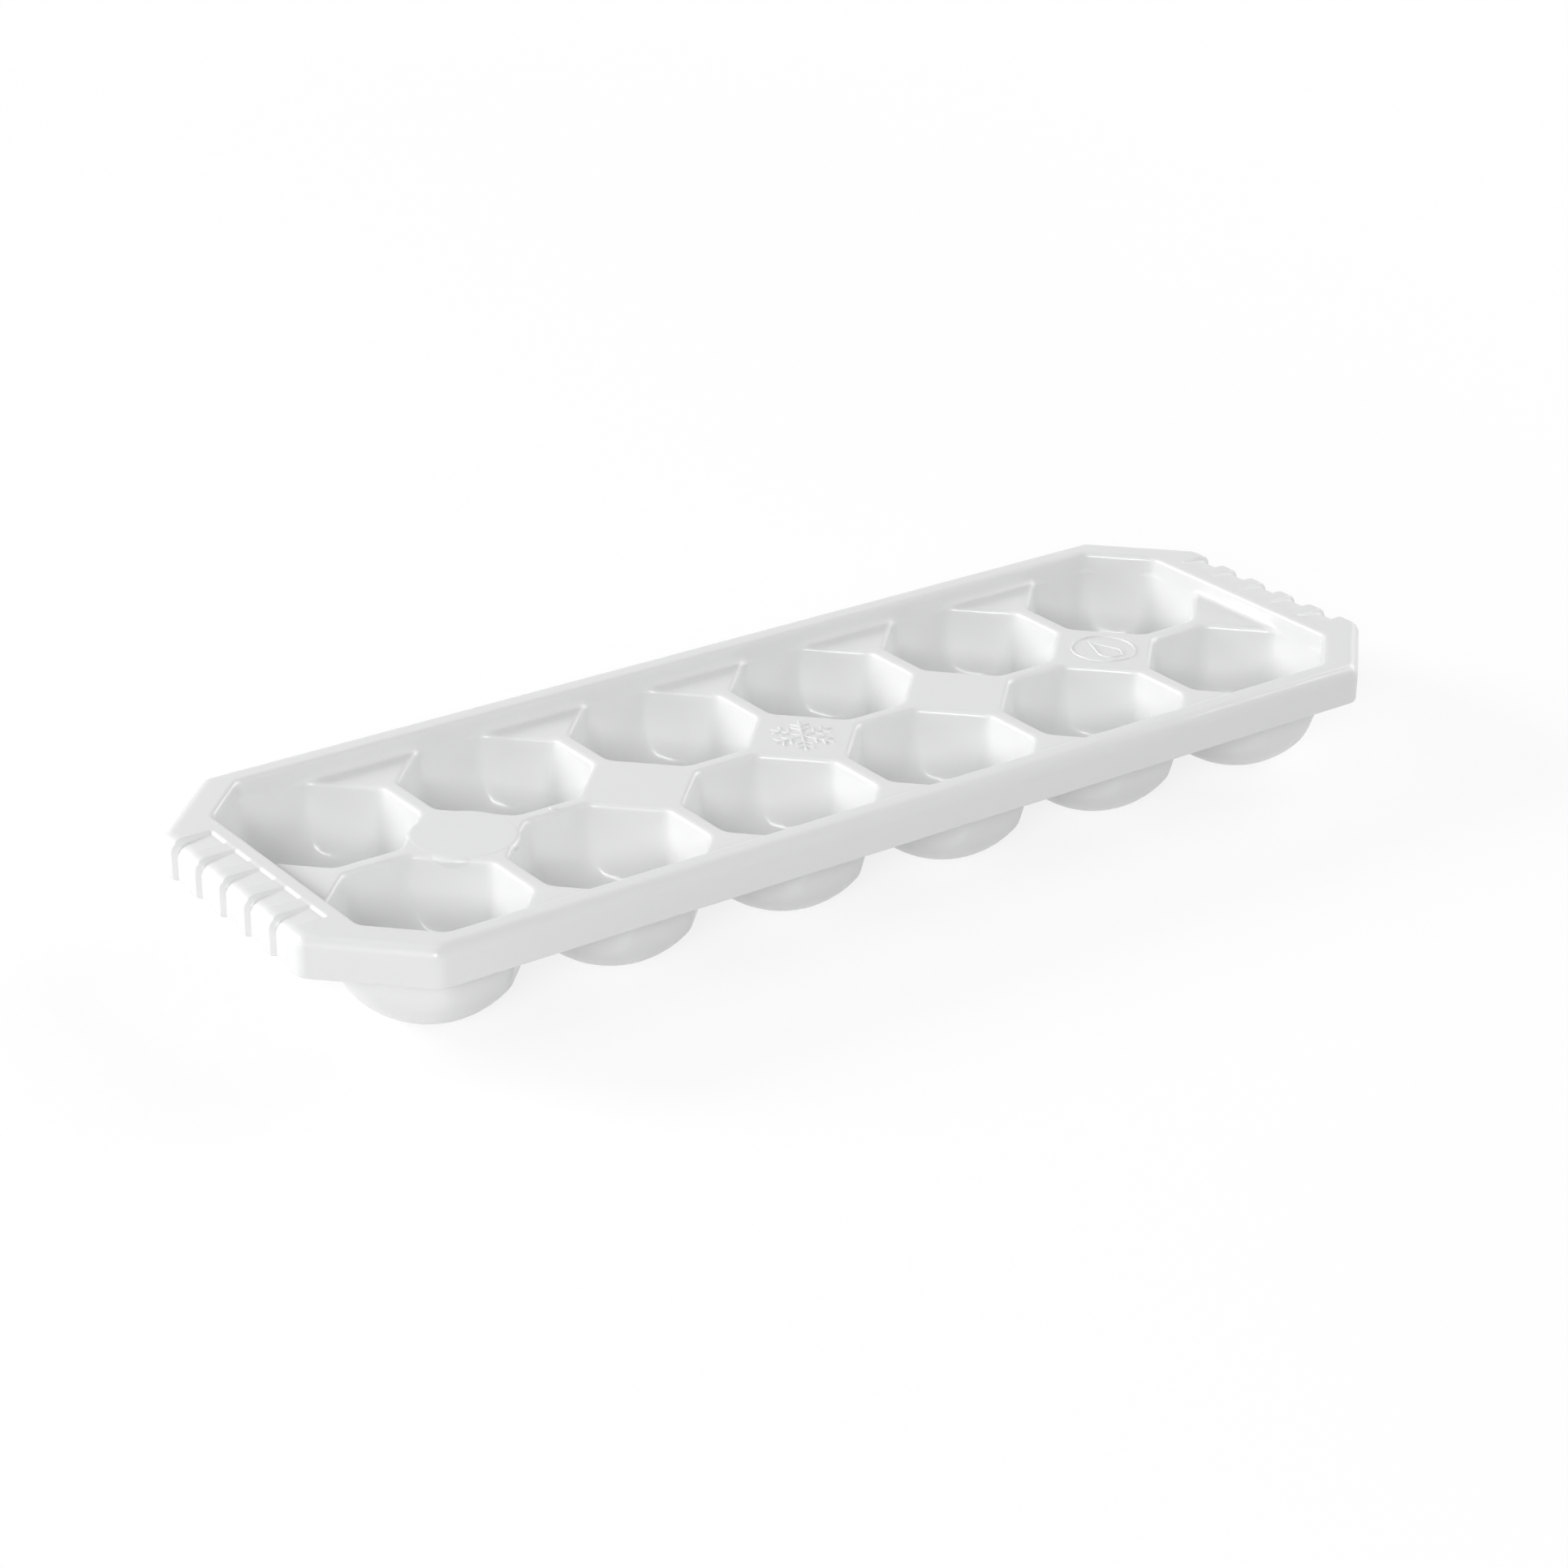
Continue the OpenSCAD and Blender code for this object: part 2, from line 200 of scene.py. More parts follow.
class TrayStage(bpy.types.PropertyGroup):
    """Camera, lamps and floor."""

    azimuth: turn("Camera azimuth", -36.728, "Turn of the camera round the tray")
    elevation: turn("Camera elevation", 24.862, "Height of the camera above the horizon")
    roll: turn("Camera roll", 0.861, "Tilt of the picture")
    distance: length("Camera distance", 746.9, "Distance from the camera to the point it looks at")
    target_x: length("Target X", -23.122, "Where the camera looks, along the tray")
    target_y: length("Target Y", -24.572, "Where the camera looks, across the tray")
    lens: FloatProperty(name="Lens", description="Focal length on a 36 mm sensor", default=82.574,
                        unit="CAMERA")
    key: share("Key lamp", 18.1, "Power of the soft lamp at the back left", 1000)
    fill: share("Fill lamp", 11.5, "Power of the soft lamp at the front left", 1000)
    side: share("Side lamp", 12.8, "Power of the wide lamp on the right", 1000)
    top: share("Top lamp", 3.1, "Power of the soft lamp overhead", 1000)
    edge: share("Edge lamp", 0.35, "Power of the small lamp that draws a line on the front rim", 1000)
    horizon: share("Horizon", 0.25, "Strength of the even light from the sides", 10)
    zenith: share("Zenith", 0.0, "Strength of the even light from above", 10)
    bounce: colour("Floor bounce", (0.95, 0.95, 0.95), "Colour of the floor as it lights the tray")
    shadow: share("Floor shadow", 0.22, "Share of real light in the floor that the camera sees")
    shadow_near: length("Shadow fade", 250, "Distance from the middle at which the shadow gets fainter")
    shadow_far: length("Shadow end", 900, "Distance from the middle at which the floor is all white")
    floor_gap: length("Floor gap", 0.05, "How far the floor lies below the tray's feet")


# Blends of two surfaces whose value is negative inside


def meet(a, b, radius, cosine=0.0):
    """Common part of two bodies, its edge rounded. The cosine is that of their outward directions' angle."""
    p, q = radius + a, radius + b
    corner = np.sqrt(np.maximum(p * p + q * q - 2 * cosine * p * q, 0) / (1 - cosine * cosine)) - radius
    return np.where((p > cosine * q) & (q > cosine * p), corner, np.maximum(a, b))


def join(a, b, radius):
    """Both bodies together, the hollow between them filled with a fillet."""
    corner = np.hypot(np.maximum(radius - a, 0), np.maximum(radius - b, 0))
    return np.maximum(radius, np.minimum(a, b)) - corner


def ease(t):
    """Smooth step from 0 to 1."""
    t = np.clip(t, 0, 1)
    return t * t * (3 - 2 * t)


def share_of(length, whole):
    """Length as a share of a whole one, 0 where there is none."""
    return np.divide(length, whole, out=np.zeros_like(whole), where=whole > TINY)


NORMALS = np.array([[math.cos(math.pi / 4 * k), math.sin(math.pi / 4 * k)] for k in range(SIDES)])


class Skin:
    """One side of the moulding: the seen top, or the underside a wall's thickness behind it."""

    def __init__(self, sizes, under):
        s = self.sizes = sizes
        if under:
            self.grow, self.level = s.cup_wall, DECK_UNDER
            self.top, self.floor = TRAY_TOP - s.rim_wall, s.foot_height
            self.lip, self.edge, self.toe, self.toe_depth = 0.5, 0.35, 0.4, 3
            self.low, self.web_span = 0.5, 0.5
            self.foot_rows = [(s.foot_radius + reach, part * s.foot_height) for reach, part in FOOT_ROWS]
            self.reaches = [8.6, 9.8, 11.5, 13.2]
            self.heights = [4.6, 5.8, 7, 8.2, 9.4, 10.6, 11.9, 13.3, 14.8, 16.4, 18, 19.4, 20.6]
            self.crest, self.ledge = [0.75, 0.35, 0.12], [0.1, 0.25, 0.4]
        else:
            self.grow, self.level = 0.0, DECK_TOP
            self.top, self.floor = TRAY_TOP, s.floor_height
            self.lip, self.edge, self.toe, self.toe_depth = s.lip_round, s.rim_edge, s.toe_round, 2
            self.low, self.web_span = DECK_TOP - DECK_UNDER, SPAN
            self.foot_rows = []
            self.reaches = [1.6, 3.4, 5, 6.2, 7, 7.6, 8.3, 9.2, 10.2, 11.4, 12.8, 14.3]
            self.heights = [7.1, 8.1, 9.1, 10.2, 11.3, 12.5, 13.8, 15.2, 16.6, 18.1, 19.5, 20.8]
            self.crest, self.ledge = [1.25, 0.8, 0.4], [0.12, 0.5, 1.3]
        self.ball = s.bowl_radius + self.grow
        self.seam = s.bowl_centre - self.ball * math.sin(s.bowl_lean)

    def growth(self, z):
        """How far the flat sides stand outside the mouth's outline at a height."""
        s = self.sizes
        barrel = s.cup_barrel * (np.maximum(DECK_TOP - z, 0) / s.barrel_depth) ** BARREL_POWER
        return self.grow + (z - DECK_TOP) * math.tan(s.cup_draft) - barrel

    def soft(self, z):
        """Radius of the upright edges at a height."""
        s = self.sizes
        deeper = (s.edge_deep - s.edge_round) * ease((DECK_TOP - z) / s.edge_depth)
        return s.edge_round + deeper + self.grow / 2

    def toe_soft(self, z):
        """Radius where the rim's wall meets the deck, and the cup's upright edges below it."""
        return self.toe + (self.soft(z) - self.toe) * ease((self.level - z) / self.toe_depth)

    def cone(self, z):
        """Radius at a height of the cone that goes on from the bowl."""
        lean = self.sizes.bowl_lean
        return self.ball * math.cos(lean) + (z - self.seam) * math.tan(lean)

    def bowl_radius(self, z):
        """Radius of the bowl and its cone at a height."""
        below = self.sizes.bowl_centre - np.minimum(z, self.seam)
        return np.where(z < self.seam, np.sqrt(np.maximum(self.ball**2 - below**2, 0)), self.cone(z))

    def bowl_height(self, reach):
        """Height of the bowl's surface at a distance from its middle."""
        return max(self.sizes.bowl_centre - math.sqrt(self.ball**2 - reach**2), self.floor)

    def bowl(self, x, y, z):
        """Distance from the surface of the bowl and its cone."""
        r = np.hypot(x, y)
        ball = np.hypot(r, z - self.sizes.bowl_centre) - self.ball
        return np.where(z < self.seam, ball, (r - self.cone(z)) * math.cos(self.sizes.bowl_lean))

    def flats(self, p, sides, growth, soft):
        """Distance from these flat sides and the rounded edges between them."""
        planes = [p[:, :2] @ NORMALS[side] - side_reach(side, self.sizes) - growth for side in sides]
        return functools.reduce(lambda body, plane: meet(body, plane, soft, 1 / ROOT2), planes)

    def levelled(self, points):
        """Points moved level on to the flat sides and their rounded edges."""
        z = points[..., 2].reshape(-1)
        growth, soft = self.growth(z), self.soft(z)
        return settled(points, lambda p: self.flats(p, range(SIDES), growth, soft), 5)

    def field(self, p, flush):
        """Distance from this skin round one cup. The sides in flush run straight on into the rim."""
        x, y, z = p.T
        growth, soft, deep = self.growth(z), self.soft(z), self.level - z
        wall = self.flats(p, flush, growth, soft)
        core = self.flats(p, [side for side in range(SIDES) if side not in flush], growth, soft)
        for other in (self.bowl(x, y, z), self.floor - z):
            core = meet(core, other, self.sizes.bowl_blend, BOWL_COSINE)
        recess = meet(join(deep, core, self.lip), wall, self.toe_soft(z), ease(deep / EDGE_TURN) / ROOT2)
        return join(recess, self.top - z, self.edge)


def side_reach(side, sizes):
    """Distance of a mouth's flat side from the cup's middle, at the deck."""
    return HALF_MOUTH if side % 2 == 0 else (2 * HALF_MOUTH - sizes.mouth_cut) / ROOT2


def settled(points, field, steps=9, probe=1e-4):
    """Points pulled on to the surface where the field is zero."""
    p = points.reshape(-1, 3).copy()
    for _ in range(steps):
        slope = np.empty_like(p)
        for axis, shift in enumerate(np.eye(3) * probe):
            slope[:, axis] = (field(p + shift) - field(p - shift)) / (2 * probe)
        p -= (field(p) / np.maximum((slope**2).sum(1), 0.05))[:, None] * slope
    return p.reshape(points.shape)


def raised(plan, z):
    """Plan points with their height."""
    return np.concatenate([plan, np.broadcast_to(np.asarray(z, float), (len(plan),))[:, None]], 1)


class Mouth:
    """Stations round an eight-sided mouth, and what lies outward of each."""

    def __init__(self, sizes):
        half, cut = HALF_MOUTH, sizes.mouth_cut
        flat, self.slant = 2 * (half - cut), cut * ROOT2
        lean = (half - SPAN) / (CUP_PITCH / 2)
        join_run = (half * lean - (half - cut)) / (1 + lean) * ROOT2
        flat_runs = [*FLAT_RUNS, flat / 4, flat * 0.375, flat / 2]
        slant_runs = [*SLANT_RUNS, TIP_RUN, MID_RUN, join_run, self.slant / 2]
        self.join_at, self.tip_at = slant_runs.index(join_run), slant_runs.index(TIP_RUN)
        side, part, run = [], [], []
        self.start = []
        for k in range(SIDES):
            whole, runs = (flat, flat_runs) if k % 2 == 0 else (self.slant, slant_runs)
            full = runs + [whole - r for r in runs[-2:0:-1]]
            self.start.append(len(side))
            side += [k] * len(full)
            part += [r / whole for r in full]
            run += full
        self.side, self.part, self.run = np.array(side), np.array(part), np.array(run)
        self.count = len(side)
        reach = np.array([side_reach(k, sizes) for k in range(SIDES)])
        pairs = [(NORMALS[[k, (k + 1) % SIDES]], reach[[k, (k + 1) % SIDES]]) for k in range(SIDES)]
        self.corner = np.array([np.linalg.solve(both, far) for both, far in pairs])
        self.mitre = np.array([np.linalg.solve(both, [1, 1]) for both, _ in pairs])

    def at(self, grow):
        """Plan of all stations on the outline grown by one value or one for each station."""
        grow = np.broadcast_to(np.asarray(grow, float), (self.count,))[:, None]
        first = self.corner[self.side - 1] + grow * self.mitre[self.side - 1]
        last = self.corner[self.side] + grow * self.mitre[self.side]
        return first + (last - first) * self.part[:, None]

    def index(self, side, place):
        """Number of a station, counted from the start of its side, or from the end if negative."""
        return (self.start[(side + (place < 0)) % SIDES] + place) % self.count

    def walk(self, first, last):
        """Numbers of the stations from one to another."""
        return [(first + i) % self.count for i in range((last - first) % self.count + 1)]


class Cell:
    """One cup with its share of the deck and of the rim's inner wall, the cup's middle at the origin."""

    def __init__(self, sizes, mouth, flush):
        self.sizes, self.mouth, self.flush = sizes, mouth, flush
        self.first, self.last = flush[0], flush[-1]
        self.ccw_side, self.cw_side = (self.last + 1) % SIDES, (self.first - 1) % SIDES
        m, ccw, cw = mouth, self.ccw_side, self.cw_side
        far = m.start[2] - m.start[1] - m.join_at
        self.ccw_zone = m.walk(m.index(ccw, 0), m.index(ccw, m.tip_at))
        self.ccw_mesh = m.walk(self.ccw_zone[-1], m.index(ccw, far))
        self.cw_mesh = m.walk(m.index(cw, -far), m.index(cw, -m.tip_at))
        self.cw_zone = m.walk(self.cw_mesh[-1], m.index(self.first, 0))
        self.flush_stations = m.walk(self.cw_zone[-1], self.ccw_zone[0])[:-1]
        self.wall_stations = self.cw_zone[:-1] + self.flush_stations + self.ccw_zone
        self.open_stations = m.walk(self.ccw_mesh[-1], self.cw_mesh[0])
        self.skins = [self.skin_points(Skin(sizes, under)) for under in (False, True)]

    def lane(self, side, ccw):
        """Outward normal of a flush side and the direction along it, away from the cup."""
        normal = NORMALS[side]
        return normal, np.array([-normal[1], normal[0]]) * (1 if ccw else -1)

    def skin_points(self, skin):
        """All points of one skin: cup, collar, outer edge of the deck's share and the rim's inner wall."""
        field = functools.partial(skin.field, flush=self.flush)
        edge, span = self.mouth.at(skin.growth(skin.level)), self.spans(skin)
        target, walls = self.collar_edge(skin, edge, span)
        cup = self.cup_rows(skin, edge, field)
        collar = settled(self.collar_rows(skin, edge, target, span), field)
        cup[-1] = collar[0]
        return {"cup": cup, "collar": collar, "border": settled(self.border(skin), field),
                "wall": settled(self.wall_rows(skin, edge, target, walls), field)}

    def cup_rows(self, skin, edge, field):
        """Rows of the cup, from its middle up to the collar."""
        aim = edge / np.linalg.norm(edge, axis=1)[:, None]
        rows = [raised(aim * r, skin.bowl_height(r)) for r in skin.reaches]
        for z in (*skin.heights, skin.level - skin.low):
            plan = skin.levelled(raised(self.mouth.at(skin.growth(z)), z))[:, :2]
            far = np.linalg.norm(plan, axis=1)
            rows.append(raised(plan * np.minimum(1, skin.bowl_radius(z) / far)[:, None], z))
        foot = [raised(aim * r, z) for r, z in skin.foot_rows]
        return np.array(foot + list(settled(np.array(rows), field)))

    def spans(self, skin):
        """How far each station's collar reaches out from the mouth's edge on the deck."""
        m = self.mouth
        from_start = np.where(m.side == self.ccw_side, 1, ease(m.run / COLLAR_EASE))
        from_end = np.where(m.side == self.cw_side, 1, ease((m.slant - m.run) / COLLAR_EASE))
        full = skin.web_span + (SPAN - skin.web_span) * np.minimum(from_start, from_end)
        return np.where(m.side % 2 == 1, full, skin.web_span)

    def collar_edge(self, skin, edge, span):
        """Outer edge of the collar, and the wall's direction and foot at its stations by the rim."""
        m = self.mouth
        target = m.at(skin.growth(skin.level) + span)
        run = np.where(m.side == self.cw_side, m.slant - m.run, m.run)
        walls = {}
        for zone, side, ccw in ((self.ccw_zone, self.last, True), (self.cw_zone, self.first, False)):
            normal, along = self.lane(side, ccw)
            tip = edge[zone[0 if ccw else -1]]
            for i in zone:
                target[i] = tip + (along * TIP_RUN - normal * SPAN) * run[i] / TIP_RUN
                walls[i] = (normal, target[i] + normal * (normal @ (tip - target[i])))
        target[self.flush_stations] = edge[self.flush_stations]
        return target, walls

    def collar_rows(self, skin, edge, target, span):
        """Rows of the collar, from the cup over its lip to the deck."""
        m = self.mouth
        reach = np.linalg.norm(target - edge, axis=1)
        weight = np.clip(reach / span, 0, 1)
        steps = [drop * skin.low for drop in COLLAR_DROPS] + [part * reach for part in COLLAR_REACHES]
        last = len(steps) - 1
        rows = []
        for j, natural in enumerate(steps):
            even = -skin.low + (skin.low + reach) * j / last
            u = weight * natural + (1 - weight) * even
            z = skin.level + np.minimum(u, 0)
            plan = m.at(skin.growth(z))
            plan += (skin.levelled(raised(plan, z))[:, :2] - plan) * min(1, (last - j) / SETTLED_ROWS)
            rows.append(raised(plan + (target - edge) * share_of(np.maximum(u, 0), reach)[:, None], z))
        return np.array(rows)

    def border(self, skin):
        """Points along the outer edge of the deck's share."""
        top_toe = HALF_MOUTH - SPAN
        toe = top_toe + skin.growth(skin.level)
        border = []
        for plan in self.mouth.at(0)[self.open_stations]:
            plan = plan * (CUP_PITCH / 2 / np.abs(plan).max())
            for side in {self.first, self.last}:
                along = NORMALS[side] @ plan
                if 0 < along < top_toe + TINY:
                    plan = plan + NORMALS[side] * along * (toe / top_toe - 1)
            border.append(plan)
        return raised(np.array(border), skin.level)

    def beside(self, skin, side, ccw):
        """Starts, feet and directions of the wall's stations beside the cup, the farthest first."""
        normal, along = self.lane(side, ccw)
        toe = HALF_MOUTH + skin.growth(skin.level)
        return [(normal * (toe - SPAN) + along * far, normal * toe + along * far, normal) for far in TOES]

    def wall_rows(self, skin, edge, target, walls):
        """Rows of the rim's inner wall, from the deck up to the ledge."""
        m = self.mouth
        stations = self.beside(skin, self.first, False)
        for i in self.wall_stations:
            if i in walls:
                normal, foot = walls[i]
                stations.append((target[i], foot, normal))
            else:
                side = m.side[i]
                first = NORMALS[side] if side == self.first else m.mitre[side - 1]
                last = NORMALS[side] if side == self.last else m.mitre[side]
                stations.append((edge[i], edge[i], first + (last - first) * m.part[i]))
        stations += self.beside(skin, self.last, True)[::-1]
        starts, feet, pushes = (np.array(part) for part in zip(*stations))
        reach = np.linalg.norm(feet - starts, axis=1)
        weight = np.clip(reach / SPAN, 0, 1)
        rise, height = math.tan(self.sizes.cup_draft), skin.top - skin.level
        rows = []
        for j, step in enumerate(WALL_STEPS):
            even = (WALL_STEPS[-1] + reach) * j / (len(WALL_STEPS) - 1) - reach
            u = weight * (step if step > 0 else step * reach) + (1 - weight) * even
            up, back = np.maximum(u, 0), share_of(np.maximum(-u, 0), reach)
            plan = feet + pushes * (up * rise)[:, None] + (starts - feet) * back[:, None]
            rows.append(raised(plan, skin.level + up))
        for u in (WALL_MIDDLE, *(height - drop for drop in skin.crest)):
            rows.append(raised(feet + pushes * u * rise, skin.level + u))
        for v in skin.ledge:
            rows.append(raised(feet + pushes * (height * rise + v), skin.top))
        return np.array(rows)


class Moulding:
    """All points of the moulding once, and the faces of each piece by point numbers."""

    def __init__(self):
        self.points, self.seen, self.faces = [], {}, {}

    def add(self, points):
        """Numbers of these points, shared with any earlier point at the same place."""
        points = np.asarray(points, float)
        flat = points.reshape(-1, 3)
        keys = np.floor((flat + WELD_SHIFT) / WELD).astype(np.int64)
        numbers = np.empty(len(flat), int)
        for i, key in enumerate(map(tuple, keys)):
            if key not in self.seen:
                self.seen[key] = len(self.points)
                self.points.append(flat[i])
            numbers[i] = self.seen[key]
        return numbers.reshape(points.shape[:-1])

    def face(self, piece, numbers, hidden=False):
        """One face. Hidden ones close a piece where it meets its neighbour."""
        clean = [n for i, n in enumerate(numbers) if n != numbers[i - 1]]
        if len(set(clean)) == len(clean) >= 3:
            self.faces.setdefault(piece, []).append((clean, hidden))

    def grid(self, piece, rows, closed=False, hidden=False):
        """Faces between rows of point numbers."""
        rows = np.asarray(rows)
        if closed:
            rows = np.concatenate([rows, rows[:, :1]], 1)
        for low, high in zip(rows[:-1].tolist(), rows[1:].tolist()):
            for i in range(len(low) - 1):
                self.face(piece, [low[i], low[i + 1], high[i + 1], high[i]], hidden)


class Outline:
    """Outer outline of the rim for one piece: straight stations, rounded bends and the cut corner."""

    def __init__(self, sizes, kind, ends):
        self.kind, self.ends, self.sizes = kind, ends, sizes
        cut = sizes.rim_corner_cut
        self.bends = np.array([[TRAY_HALF_X, TRAY_HALF_Y - cut], [TRAY_HALF_X - cut, TRAY_HALF_Y]])
        self.mitres = [np.linalg.solve(NORMALS[k:k + 2], [1, 1]) for k in (0, 1)]

    def at(self, inset):
        """Plan of the stations, moved in from the outer face."""
        if self.kind == "rim":
            return np.array([[x, TRAY_HALF_Y - inset] for x in np.linspace(-self.ends, self.ends, 14)])
        if self.kind == "grip":
            return np.array([[TRAY_HALF_X - inset, y] for y in self.groove_stations()])
        radius = max(self.sizes.rim_corner_round - inset, CORNER_LEAST)
        arcs = []
        for bend, mitre, first in zip(self.bends, self.mitres, (0, 45)):
            angles = np.radians(np.linspace(first, first + 45, 8))
            centre = bend - mitre * (inset + radius)
            arcs.append(centre + radius * np.array([np.cos(angles), np.sin(angles)]).T)
        before, after = arcs[0][-1], arcs[1][0]
        slant = [before + (after - before) * t for t in (0.33, 0.67)]
        return np.array([[TRAY_HALF_X - inset, self.ends[0]], *arcs[0], *slant, *arcs[1],
                         [self.ends[1], TRAY_HALF_Y - inset]])

    def groove_stations(self):
        """Stations across an end, close together at the grooves' sides."""
        s = self.sizes
        middles = (np.arange(s.groove_count) - (s.groove_count - 1) / 2) * s.groove_pitch
        steps = [(middle + sign * s.groove_width / 2, 9) for middle in middles for sign in (-1, 1)]
        steps += [(sign * (grooved_half(s) + s.rim_wall * HOLLOW_WIDER), 5) for sign in (-1, 1)]
        places = [-self.ends, self.ends, *middles]
        for place, count in steps:
            places += list(place + np.linspace(-0.5, 0.5, count) * s.groove_ease)
        return np.array(sorted({round(place, 6) for place in places}))


def outer_profile(s, under):
    """Section of the rim's outer part as insets and heights, from the ledge to the skirt's lower edge."""
    bottom = SKIRT_END - s.skirt_reach
    if under:
        face, top, bend, low, way, start = s.rim_wall, TRAY_TOP - s.rim_wall, 0.5, 0.3, -1, 3.0
    else:
        face, top, bend, low, way, start = 0, TRAY_TOP, s.rim_round, s.skirt_edge, 1, s.rim_round + 0.8
    quarter = np.radians(np.linspace(0, 90, 9))
    return [
        (start, top),
        *((face + bend * (1 - math.sin(a)), top - bend * (1 - math.cos(a))) for a in quarter),
        (face, bottom + PROFILE_MIDDLE), (face, bottom + low),
        *((face + way * low * (1 - math.cos(a)), bottom + low * (1 - math.sin(a))) for a in quarter[2::2]),
    ]


def grooved_half(s):
    """Distance from the middle of an end to the outer side of its last groove."""
    return (s.groove_count - 1) / 2 * s.groove_pitch + s.groove_width / 2


def groove_end(s, under):
    """Inset of the grooves' inner end, or of the hollow's below them, and the width of its step."""
    return (s.groove_length + s.rim_wall - 0.1, HOLLOW_EASE) if under else (s.groove_length, s.groove_ease)


def groove_profile(s, under):
    """Rows of the ledge across the grooves, before the outer profile's own."""
    middle, width = groove_end(s, under)
    first = 11.0 if under else s.groove_length + 1
    top = TRAY_TOP - (s.rim_wall if under else 0)
    return [(inset, top) for inset in (first, *(middle - np.linspace(-0.5, 0.5, 9) * width), 7, 4.7)]


def grooved(points, s, under):
    """Points of an end, pushed in where the finger grooves are."""
    x, y, z = np.moveaxis(points, -1, 0)
    inset, far = TRAY_HALF_X - x, np.abs(y)
    end, width = groove_end(s, under)
    along = ease((end - inset) / width + 0.5)
    if under:
        across = ease((grooved_half(s) + s.rim_wall * HOLLOW_WIDER - far) / s.groove_ease + 0.5)
        depth, land = s.groove_depth, 0
    else:
        reach = s.groove_count / 2 * s.groove_pitch
        nearest = np.abs((y + reach) % s.groove_pitch - s.groove_pitch / 2)
        across = np.where(far < reach, ease((s.groove_width / 2 - nearest) / s.groove_ease + 0.5), 0)
        depth = s.groove_depth + (s.groove_start - s.groove_depth) * np.clip(inset / s.groove_length, 0, 1)
        land = s.land_step * ease((grooved_half(s) - far) / s.groove_ease + 0.5) * (1 - across)
    slide = ease((s.groove_length - 0.8 - inset) / (s.groove_length - 3.3))
    sink = ease((z - SKIRT_END - 1) / (TRAY_TOP - 4 - SKIRT_END))
    out = points.copy()
    out[..., 0] -= s.groove_face * across * slide
    out[..., 2] -= (depth * across + land) * along * sink
    return out


PIECES_OF_RIM = {
    "rim_back": (1, 1), "rim_front": (1, -1), "grip_right": (1, 1), "grip_left": (-1, 1),
    "corner_back_right": (1, 1), "corner_back_left": (-1, 1),
    "corner_front_right": (1, -1), "corner_front_left": (-1, -1),
}


def millimetres(settings):
    """Copy of the panel's sizes with lengths in millimetres and angles in radians."""
    return SimpleNamespace(**{
        name: getattr(settings, name) / MM if prop.unit == "LENGTH" else getattr(settings, name)
        for name, prop in settings.bl_rna.properties.items() if prop.type in {"FLOAT", "INT"}})


@functools.lru_cache(maxsize=1)
def moulding_meshes():
    """Meshes of all pieces of the moulding, cut from one welded surface so that no joint shows."""
    s = millimetres(bpy.context.scene.tray_sizes)
    mouth, whole, rim_lines = Mouth(s), Moulding(), {}
    inner, end = Cell(s, mouth, [2]), Cell(s, mouth, [0, 1, 2])
    for column in range(1, COLUMNS + 1):
        for row in (1, -1):
            add_cell(whole, end if column in (1, COLUMNS) else inner, column, row, rim_lines)
    for piece in PIECES_OF_RIM:
        add_outer_rim(whole, s, piece, rim_lines)
    return part_meshes(whole)


def add_cell(whole, cell, column, row, rim_lines):
    """Cup, deck and inner wall of one cell, put in their place."""
    word, hand = "back" if row > 0 else "front", "left" if column == 1 else "right"
    place = np.array([(column - (COLUMNS + 1) / 2) * CUP_PITCH, row * CUP_PITCH / 2, 0])
    flip = np.array([-1 if column == 1 else 1, row, 1])
    top, under = ({name: whole.add(points * flip + place) for name, points in skin.items()}
                  for skin in cell.skins)
    cup = f"cup_{word}_{column}"
    for skin, numbers in zip(cell.skins, (top, under)):
        whole.grid(cup, numbers["cup"], closed=True)
        middle = whole.add(np.array([0, 0, skin["cup"][0, 0, 2]]) * flip + place).item()
        ring = numbers["cup"][0].tolist()
        for i, number in enumerate(ring):
            whole.face(cup, [middle, ring[i - 1], number])
        whole.grid("deck", numbers["collar"], closed=True)
        edge = numbers["collar"][-1]
        whole.grid("deck", [edge[cell.open_stations], numbers["border"]])
        wall = numbers["wall"][0].tolist()
        whole.face("deck", edge[cell.ccw_mesh].tolist() + wall[:-len(TOES) - 1:-1])
        whole.face("deck", edge[cell.cw_mesh].tolist() + wall[len(TOES) - 1::-1])
    whole.grid(cup, [top["cup"][-1], under["cup"][-1]], closed=True, hidden=True)
    whole.grid("deck", [top["collar"][0], under["collar"][0]], closed=True, hidden=True)
    whole.grid("deck", [top["wall"][0], under["wall"][0]], hidden=True)
    last = top["wall"].shape[1] - 1
    if len(cell.flush) == 1:
        spans = {f"rim_{word}": (0, last)}
    else:
        first, second = (len(TOES) + cell.wall_stations.index(cell.mouth.index(side, place))
                         for side, place in ((0, -6), (2, 6)))
        spans = {f"grip_{hand}": (0, first), f"corner_{word}_{hand}": (first, second),
                 f"rim_{word}": (second, last)}
    for piece, (start, stop) in spans.items():
        walls = [numbers["wall"][:, start:stop + 1] for numbers in (top, under)]
        for skin, rows in enumerate(walls):
            whole.grid(piece, rows)
            rim_lines.setdefault((piece, skin), []).append(rows)
        whole.grid(piece, [rows[0] for rows in walls], hidden=True)


